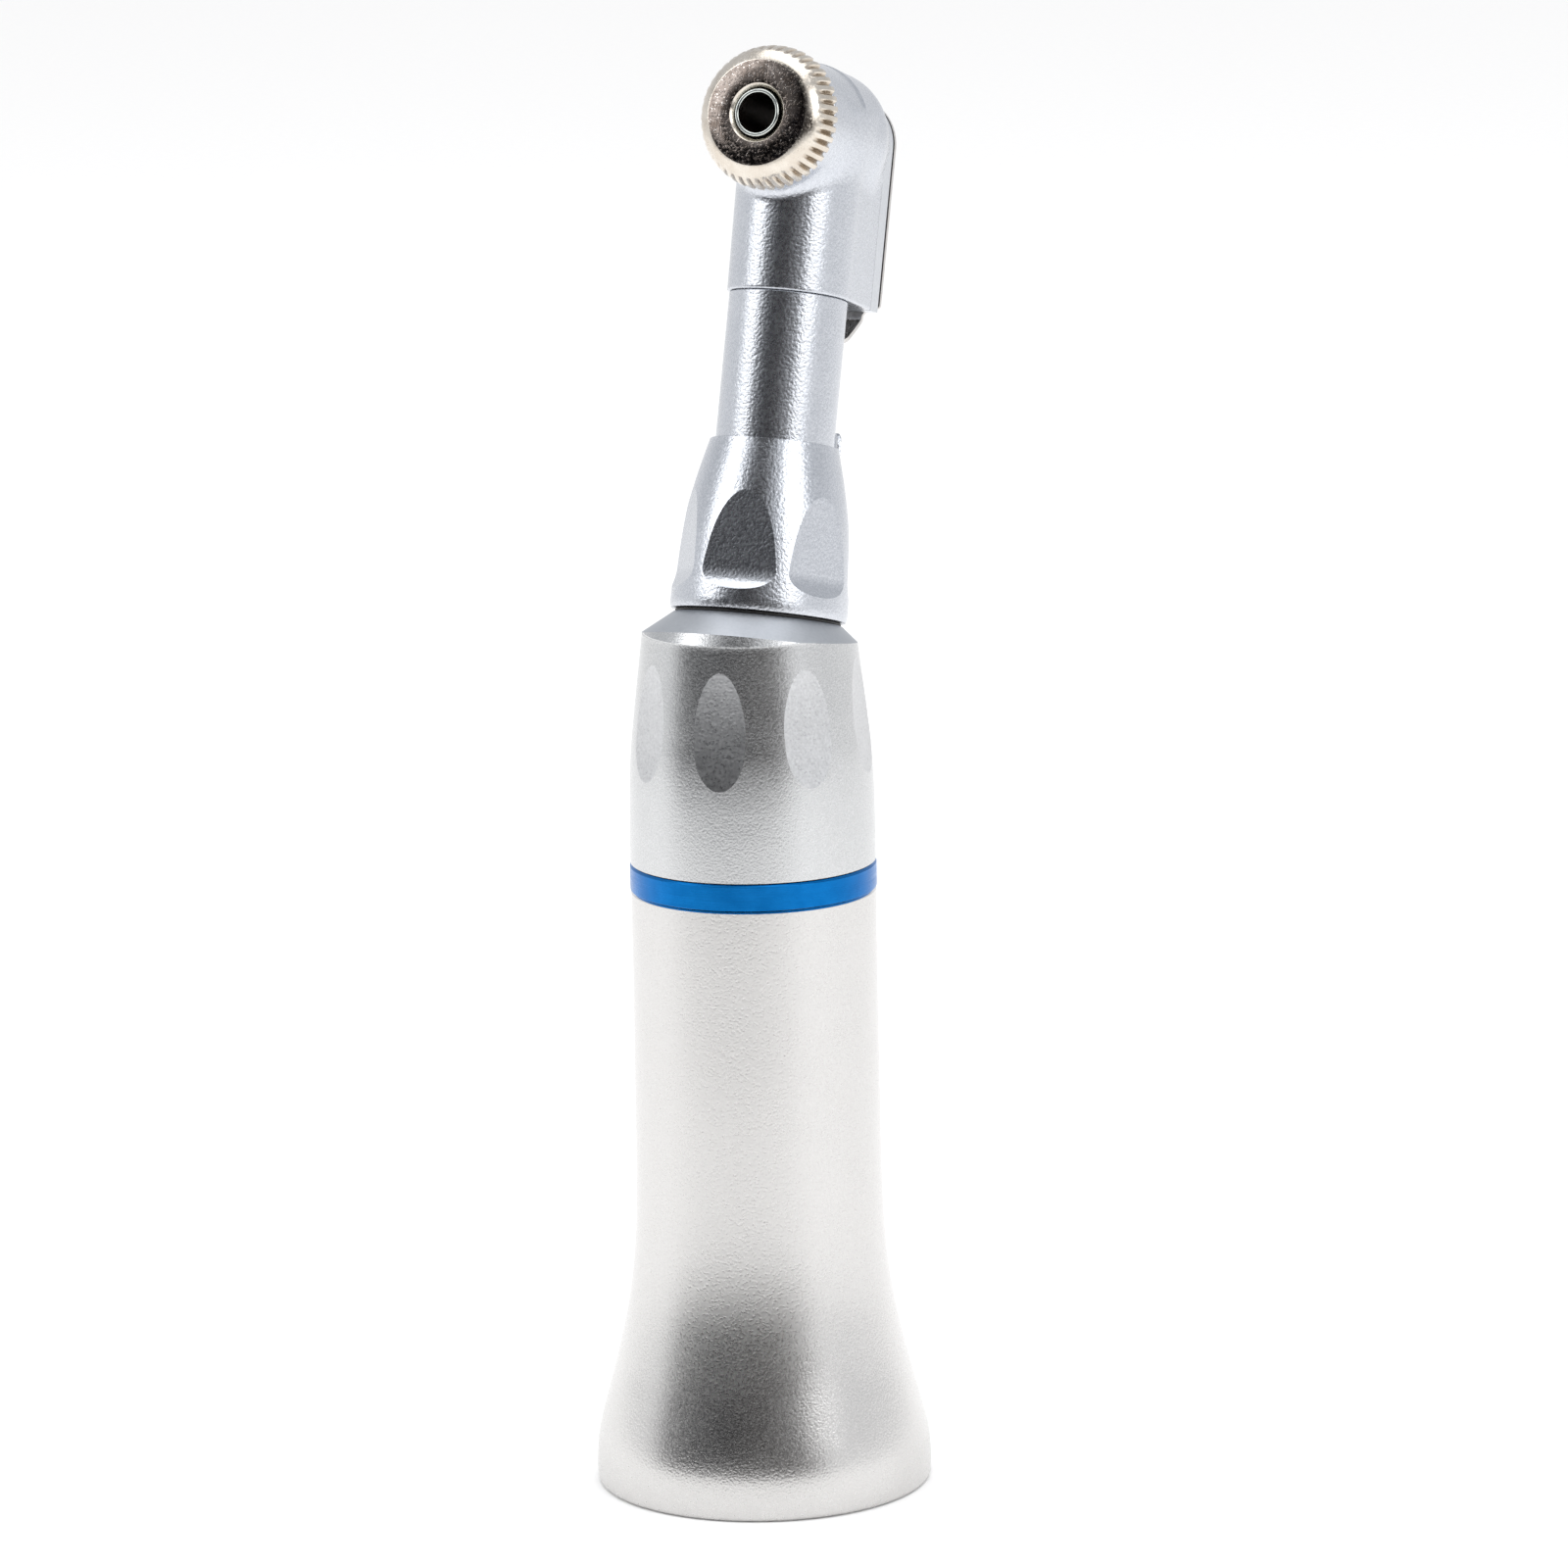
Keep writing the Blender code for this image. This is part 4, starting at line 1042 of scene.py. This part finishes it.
def make_head_cap(m):
    """The knurled cap: rounded ribs, a bright bevel and a flat face with a rimmed hole."""
    dome = spline(
        [
            (4.38, 4.72), (4.35, 5.1), (4.27, 5.5), (4.15, 5.85), (4.02, 6.12), (3.86, 6.36), (3.64, 6.58),
            (3.42, 6.74), (3.2, CAP_FACE),
        ],
        0.08,
    )
    lip = fillet([dome[-1], (1.79, CAP_FACE), (CAP_BORE, 6.62), (CAP_BORE, 5.75)], {1: 0.04, 2: 0.05}, 4)[1:]
    path = [(3.8, 5.75), (3.8, 4.56), (4.1, 4.56), (4.24, 4.58)] + dome + lip

    def ribs(radius, angle, height):
        wave = np.cos(angle * CAP_KNURLS)
        groove = np.clip((0.1 - wave) / 1.1, 0.0, 1.0)
        fade = np.clip((radius - 3.8) / 0.06, 0.0, 1.0) * np.clip((6.35 - height) / 0.7, 0.0, 1.0)
        return radius - 0.24 * groove * fade

    mesh = turned_mesh("head_cap_shell", path, CAP_KNURLS * 14, closed=True, crease=38.0, shape=ribs)
    # The flat face takes the nickel painted dark as shade, with painted glints
    for face in mesh.polygons:
        if face.normal.z > 0.99 and face.center.z > 6.8 * MM:
            face.material_index = 1
    new_object(
        "head_cap_shell", mesh, BUR, [m["cap_side"], m["cap_face"]], "handle", "cap_nickel", "head_cap",
    )


def make_bur_tube(m):
    path = fillet(
        [
            (1.53, -5.6), (1.53, 5.7), (1.45, 5.75), (1.45, 6.86), (1.23, 6.86), (TUBE_BORE, 6.7),
            (TUBE_BORE, -5.6),
        ],
        {3: 0.09, 4: 0.09},
    )
    mesh = turned_mesh("bur_tube_sleeve", path, 96, closed=True)
    # The bore's faces below the mouth take the near black finish, painted shade
    for face in mesh.polygons:
        if face.center.xy.length < (TUBE_BORE + 0.01) * MM and face.center.z < 6.66 * MM:
            face.material_index = 1
    new_object("bur_tube_sleeve", mesh, BUR, [m["tube"], m["bore"]], "bur_drive", "shaft_steel", "bur_tube")


# --- Motor socket and what shows inside it ---

SOCKET_OUTER = 6.63
SOCKET_BORE = 5.6
SEAL_HEIGHT = 9.9
DOG_FOOT = 13.0
DOG_PIN = 17.6
SPRING_FOOT = 20.45
SPRING_TOP = 27.45
SPRING_TURNS = 5

def make_socket(m):
    path = fillet(
        [
            (SOCKET_OUTER, 30.8), (SOCKET_OUTER, 0.5), (5.98, 0.5), (SOCKET_BORE, 0.9), (SOCKET_BORE, 5.8),
            (6.0, 6.0), (6.0, 7.0), (SOCKET_BORE, 7.2), (SOCKET_BORE, 9.3), (6.25, 9.3), (6.25, 10.5),
            (SOCKET_BORE, 10.5), (SOCKET_BORE, 30.8),
        ],
        {1: 0.08, 2: 0.08, 3: 0.1, 4: 0.06, 7: 0.06, 8: 0.05, 11: 0.05},
        3,
    )
    mesh = turned_mesh("coupling_socket_bore", path, 128, closed=True)
    new_object("coupling_socket_bore", mesh, HANDLE, [m["brass"]], "handle", "brass", "coupling_socket")
    ring_path = [
        (5.75 + 0.42 * math.cos(a), SEAL_HEIGHT + 0.42 * math.sin(a))
        for a in np.linspace(0.0, math.tau, 17)[:-1]
    ]
    mesh = turned_mesh("socket_seal_ring", list(reversed(ring_path)), 128, closed=True, crease=60.0)
    new_object("socket_seal_ring", mesh, HANDLE, [m["rubber"]], "handle", "black_rubber", "socket_seal")


def make_dog(m):
    body = closed_turn(
        "dog_body",
        [(1.6, DOG_FOOT), (2.45, DOG_FOOT), (2.6, 13.15), (2.6, 20.05), (2.45, 20.2), (1.6, 20.2)], 80,
    )
    fork = box_mesh("dog_fork", (6.0, 1.5, 4.6), DOG_FOOT)
    sideways = Matrix.Translation((0.0, 0.0, DOG_PIN * MM)) @ Matrix.Rotation(math.pi / 2, 4, "Y")
    hole = rod("dog_hole", 0.47, -4.0, 4.0, 32)
    mesh = joined(
        "drive_dog_fork", body, HANDLE, [("DIFFERENCE", fork, HANDLE), ("DIFFERENCE", hole, sideways)],
    )
    piece = new_object("drive_dog_fork", mesh, HANDLE, [m["bearing"]], "dog", "bearing_steel", "drive_dog")
    bevelled(piece, 0.05, 2, 40.0)
    pin = closed_turn(
        "dog_pin_rod",
        [(0.0, -2.5), (0.34, -2.5), (0.4, -2.42), (0.4, 2.42), (0.34, 2.5), (0.0, 2.5)], 32,
    )
    piece = new_object("dog_pin_rod", pin, sideways, [m["polished"]], "dog", "shaft_steel", "dog_pin")
    piece.data.set_sharp_from_angle(angle=math.radians(35.0))


def make_dog_spring(m):
    """A wound spring, from SPRING_FOOT up to SPRING_TOP."""
    coil, wire, sides = 2.05, 0.22, 12
    sweep = np.linspace(0.0, SPRING_TURNS, SPRING_TURNS * 36 + 1)
    angle = math.tau * sweep
    rise = (SPRING_FOOT + wire) + (SPRING_TOP - SPRING_FOOT - 2 * wire) * sweep / SPRING_TURNS
    around = math.tau * np.arange(sides) / sides
    radius = coil + wire * np.cos(around)[None, :]
    verts = np.stack([
        radius * np.cos(angle)[:, None], radius * np.sin(angle)[:, None],
        rise[:, None] + wire * np.sin(around)[None, :],
    ], -1).reshape(-1, 3)
    faces = []
    for low in range(0, len(verts) - sides, sides):
        faces += band(low + sides, low, sides)
    faces += [tuple(range(sides)), tuple(range(len(verts) - sides, len(verts)))[::-1]]
    mesh = mesh_from("dog_spring_wire", verts, faces)
    mesh.materials.append(m["polished"])
    piece = placed("dog_spring_wire", mesh)
    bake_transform(piece)
    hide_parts("dog_spring")


# --- CAD nodes that stay, floor, lights and camera ---

# The CAD nodes that are shown as they are, by the end of their names
CARRIED = {
    "bearing": ("_gear", "_inner_race", "_outer_race"),
    "polished": ("_shaft", "tube_clip", "cap_washer"),
    "spacer": ("_spacer", "bearing_nut"),
    "brass": ("bearing_housing",),
    "bronze": ("_bush", "latch_washer"),
    "cage": ("_bearing_cage",),
}


def dress_inner_nodes(m):
    for name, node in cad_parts.items():
        for finish, endings in CARRIED.items():
            if name.endswith(endings):
                node.data.materials.clear()
                node.data.materials.append(m[finish])


def make_materials():
    return {
        "sleeve": blasted("satin_sleeve", (0.6, 0.59, 0.58), (0.66, 0.65, 0.64), 0.255, 0.14, 0.012, 1.15),
        "grip": blasted("satin_grip", (0.53, 0.535, 0.54), (0.62, 0.625, 0.63), 0.262, 0.14, 0.009),
        "dish": blasted("milled_dish", (0.5, 0.505, 0.515), (0.64, 0.645, 0.655), 0.3, 0.16, 0.008),
        "chamfer": blasted("turned_chamfer", (0.44, 0.46, 0.49), (0.5, 0.52, 0.55), 0.42, 0.2, 0.003),
        "chrome": blasted("satin_chrome", (0.53, 0.55, 0.59), (0.63, 0.65, 0.69), 0.27, 0.17, 0.02),
        "plate": blasted("plate_steel", (0.60, 0.62, 0.65), (0.68, 0.7, 0.73), 0.32, 0.15, 0.005),
        "latch": turned_metal("latch_sheet", (0.52, 0.5, 0.48), (0.6, 0.585, 0.57), 0.3, 0.15, 0.001, 0),
        "polished": turned_metal("polished_edge", (0.74, 0.74, 0.75), (0.82, 0.82, 0.83), 0.12),
        "blue": anodised("blue_anodised"),
        "cap_side": knurled_nickel("nickel_side"),
        # The cap face's dark brown tones are painted shade, far darker than the cap's side nickel
        "cap_face": scuffed_nickel("nickel_face", (0.13, 0.105, 0.09), (0.27, 0.235, 0.215), 0.16),
        # Near black inside the bur tube's bore: painted shade
        "bore": grained(
            "bore_painted_shade", (0.05, 0.04, 0.034), 1.0, 0.35, 0.3, ((0.035, 0.026, 0.022), (0.075, 0.06, 0.05)),
            (0.3, 0.5), 0.004,
        ),
        "tube": turned_metal("bur_tube_steel", (0.6, 0.63, 0.6), (0.7, 0.73, 0.7), 0.16),
        "bearing": turned_metal("bearing_steel", (0.55, 0.56, 0.58), (0.66, 0.67, 0.69), 0.22),
        "spacer": turned_metal("spacer_steel", (0.5, 0.5, 0.5), (0.6, 0.6, 0.6), 0.3),
        "brass": turned_metal("brass_bore", (0.62, 0.46, 0.2), (0.74, 0.56, 0.27), 0.28),
        "bronze": turned_metal("bronze_bush", (0.5, 0.32, 0.14), (0.62, 0.4, 0.2), 0.35),
        "rubber": grained(
            "black_rubber", (0.015, 0.014, 0.014), 0.0, 0.5, 0.12,
            ((0.008, 0.007, 0.007), (0.03, 0.028, 0.027)), (0.45, 0.65), 0.004,
        ),
        "cage": grained(
            "cage_resin", (0.5, 0.34, 0.17), 0.0, 0.45, 0.15, ((0.4, 0.26, 0.12), (0.5, 0.34, 0.17)),
            (0.4, 0.55), 0.003,
        ),
        "floor": floor_paper("floor_paper"),
    }


FLOOR_FRONT = -0.22
FLOOR_HEIGHT = -0.00002
# The surround's opening, in degrees but for the heading of its middle.  Its half width goes from the
# first to the second OPENING_HALF between the elevations in NARROWS.
OPENING_AZIMUTH = math.radians(6.0)
OPENING_HALF = (60.0, 27.0)
NARROWS = (17.0, 23.0)
OPENING_EDGE = 14.0
OPENING_TOP = (76.0, 56.0)
OPENING_FOOT = (-14.0, 1.0)
OPENING_LEFT = (0.004, 0.005, 0.009, 1.0)
OPENING_RIGHT = (0.05, 0.044, 0.042, 1.0)
TENT_CLIMB = (2.0, 24.0)
TENT_LOW = (0.93, 0.935, 0.95, 1.0)
TENT_HIGH = (0.66, 0.675, 0.7, 1.0)
TENT_SEEN = (1.06, 1.06, 1.06, 1.0)


def make_floor(m):
    bm = bmesh.new()
    across = np.linspace(-1.2, 1.2, 17)
    away = np.linspace(FLOOR_FRONT, 1.5, 21)
    grid = [[bm.verts.new((x, y, FLOOR_HEIGHT)) for y in away] for x in across]
    for near, far in zip(grid, grid[1:]):
        for j in range(len(away) - 1):
            bm.faces.new((near[j], far[j], far[j + 1], near[j + 1]))
    mesh = mesh_of("floor", bm)
    mesh.materials.append(m["floor"])
    placed("floor", mesh)


def add_light(name, place, target, size, power):
    light = bpy.data.lights.new(name, "AREA")
    light.shape = "RECTANGLE"
    light.size, light.size_y = size
    light.energy = power
    lamp = placed(name, light)
    lamp.location = place
    lamp.rotation_euler = (Vector(target) - Vector(place)).to_track_quat("-Z", "Y").to_euler()


def make_lights():
    add_light("left_softbox", (-0.36, -0.30, 0.34), (0.0, 0.0, 0.05), (0.26, 0.34), 0.65)
    add_light("right_softbox", (0.44, -0.15, 0.32), (0.0, 0.0, 0.05), (0.26, 0.34), 0.65)
    add_light("top_softbox", (0.0, 0.05, 0.55), (0.0, 0.0, 0.0), (0.5, 0.5), 1.1)


def sine(degrees):
    return math.sin(math.radians(degrees))


def make_world():
    """A white surround with a soft dark area in front, above the floor, as in a light tent's opening."""
    world = bpy.data.worlds.new("light_tent")
    bpy.context.scene.world = world
    world.use_nodes = True
    graph = Graph(world.node_tree)
    way = graph.add("ShaderNodeTexCoord").outputs["Generated"]
    x, y, rise = graph.add("ShaderNodeSeparateXYZ", Vector=way).outputs
    flat = graph.add("ShaderNodeCombineXYZ", X=x, Y=y).outputs[0]
    heading = graph.math("NORMALIZE", flat, kind="ShaderNodeVectorMath")
    forward = (math.sin(OPENING_AZIMUTH), -math.cos(OPENING_AZIMUTH), 0.0)
    sideways = (math.cos(OPENING_AZIMUTH), math.sin(OPENING_AZIMUTH), 0.0)
    turned = graph.math("ARCCOSINE", graph.along(forward, heading))
    half = graph.span(rise, *map(math.radians, OPENING_HALF), *map(sine, NARROWS))
    beyond = graph.math("SUBTRACT", turned, half)
    within = graph.soft_step(beyond, math.radians(OPENING_EDGE), math.radians(-OPENING_EDGE))
    below, above = (graph.soft_step(rise, *map(sine, edge)) for edge in (OPENING_TOP, OPENING_FOOT))
    tall = graph.math("MULTIPLY", below, above)
    climb = graph.soft_step(rise, *map(sine, TENT_CLIMB))
    cloth = graph.mix(climb, TENT_LOW, TENT_HIGH)
    across = graph.soft_step(graph.along(sideways, heading), -0.5, 0.9)
    opening = graph.mix(across, OPENING_LEFT, OPENING_RIGHT)
    mirrored = graph.mix(graph.math("MULTIPLY", within, tall), cloth, opening)
    glossy = graph.add("ShaderNodeLightPath").outputs["Is Glossy Ray"]
    background = graph.tree.nodes["Background"]
    graph.feed(background.inputs["Color"], graph.mix(glossy, TENT_SEEN, mirrored))
    background.inputs["Strength"].default_value = 1.0


def make_camera():
    """The camera fitted to the photo."""
    camera = bpy.data.cameras.new("camera")
    camera.lens = 157.5
    camera.sensor_width = 36.0
    camera.clip_start = 0.01
    camera.clip_end = 20.0
    bpy.context.scene.camera = placed("camera", camera, Matrix((
        (0.901415, -0.068981, 0.427425, 0.179461),
        (0.432590, 0.184082, -0.882598, -0.366090),
        (-0.017799, 0.980487, 0.195775, 0.124800),
        (0.0, 0.0, 0.0, 1.0),
    )))


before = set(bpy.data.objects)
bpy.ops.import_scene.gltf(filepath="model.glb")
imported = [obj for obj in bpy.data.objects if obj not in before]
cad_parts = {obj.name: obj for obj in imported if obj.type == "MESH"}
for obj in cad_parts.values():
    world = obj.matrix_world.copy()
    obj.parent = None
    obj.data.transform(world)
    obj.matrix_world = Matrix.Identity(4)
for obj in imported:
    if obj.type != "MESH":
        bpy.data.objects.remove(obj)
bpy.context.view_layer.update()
bpy.context.scene.view_settings.view_transform = "Standard"
materials = make_materials()
make_camera()
make_world()
make_lights()
for make in (
    make_floor, make_rear_sleeve, make_speed_ring, make_front_grip, make_nose_seal, make_lock_collar,
    make_collar_lip, make_neck_tube, make_head, make_back_plate, make_latch, make_latch_screw,
    make_head_cap, make_bur_tube, make_socket, make_dog, make_dog_spring, dress_inner_nodes,
):
    make(materials)
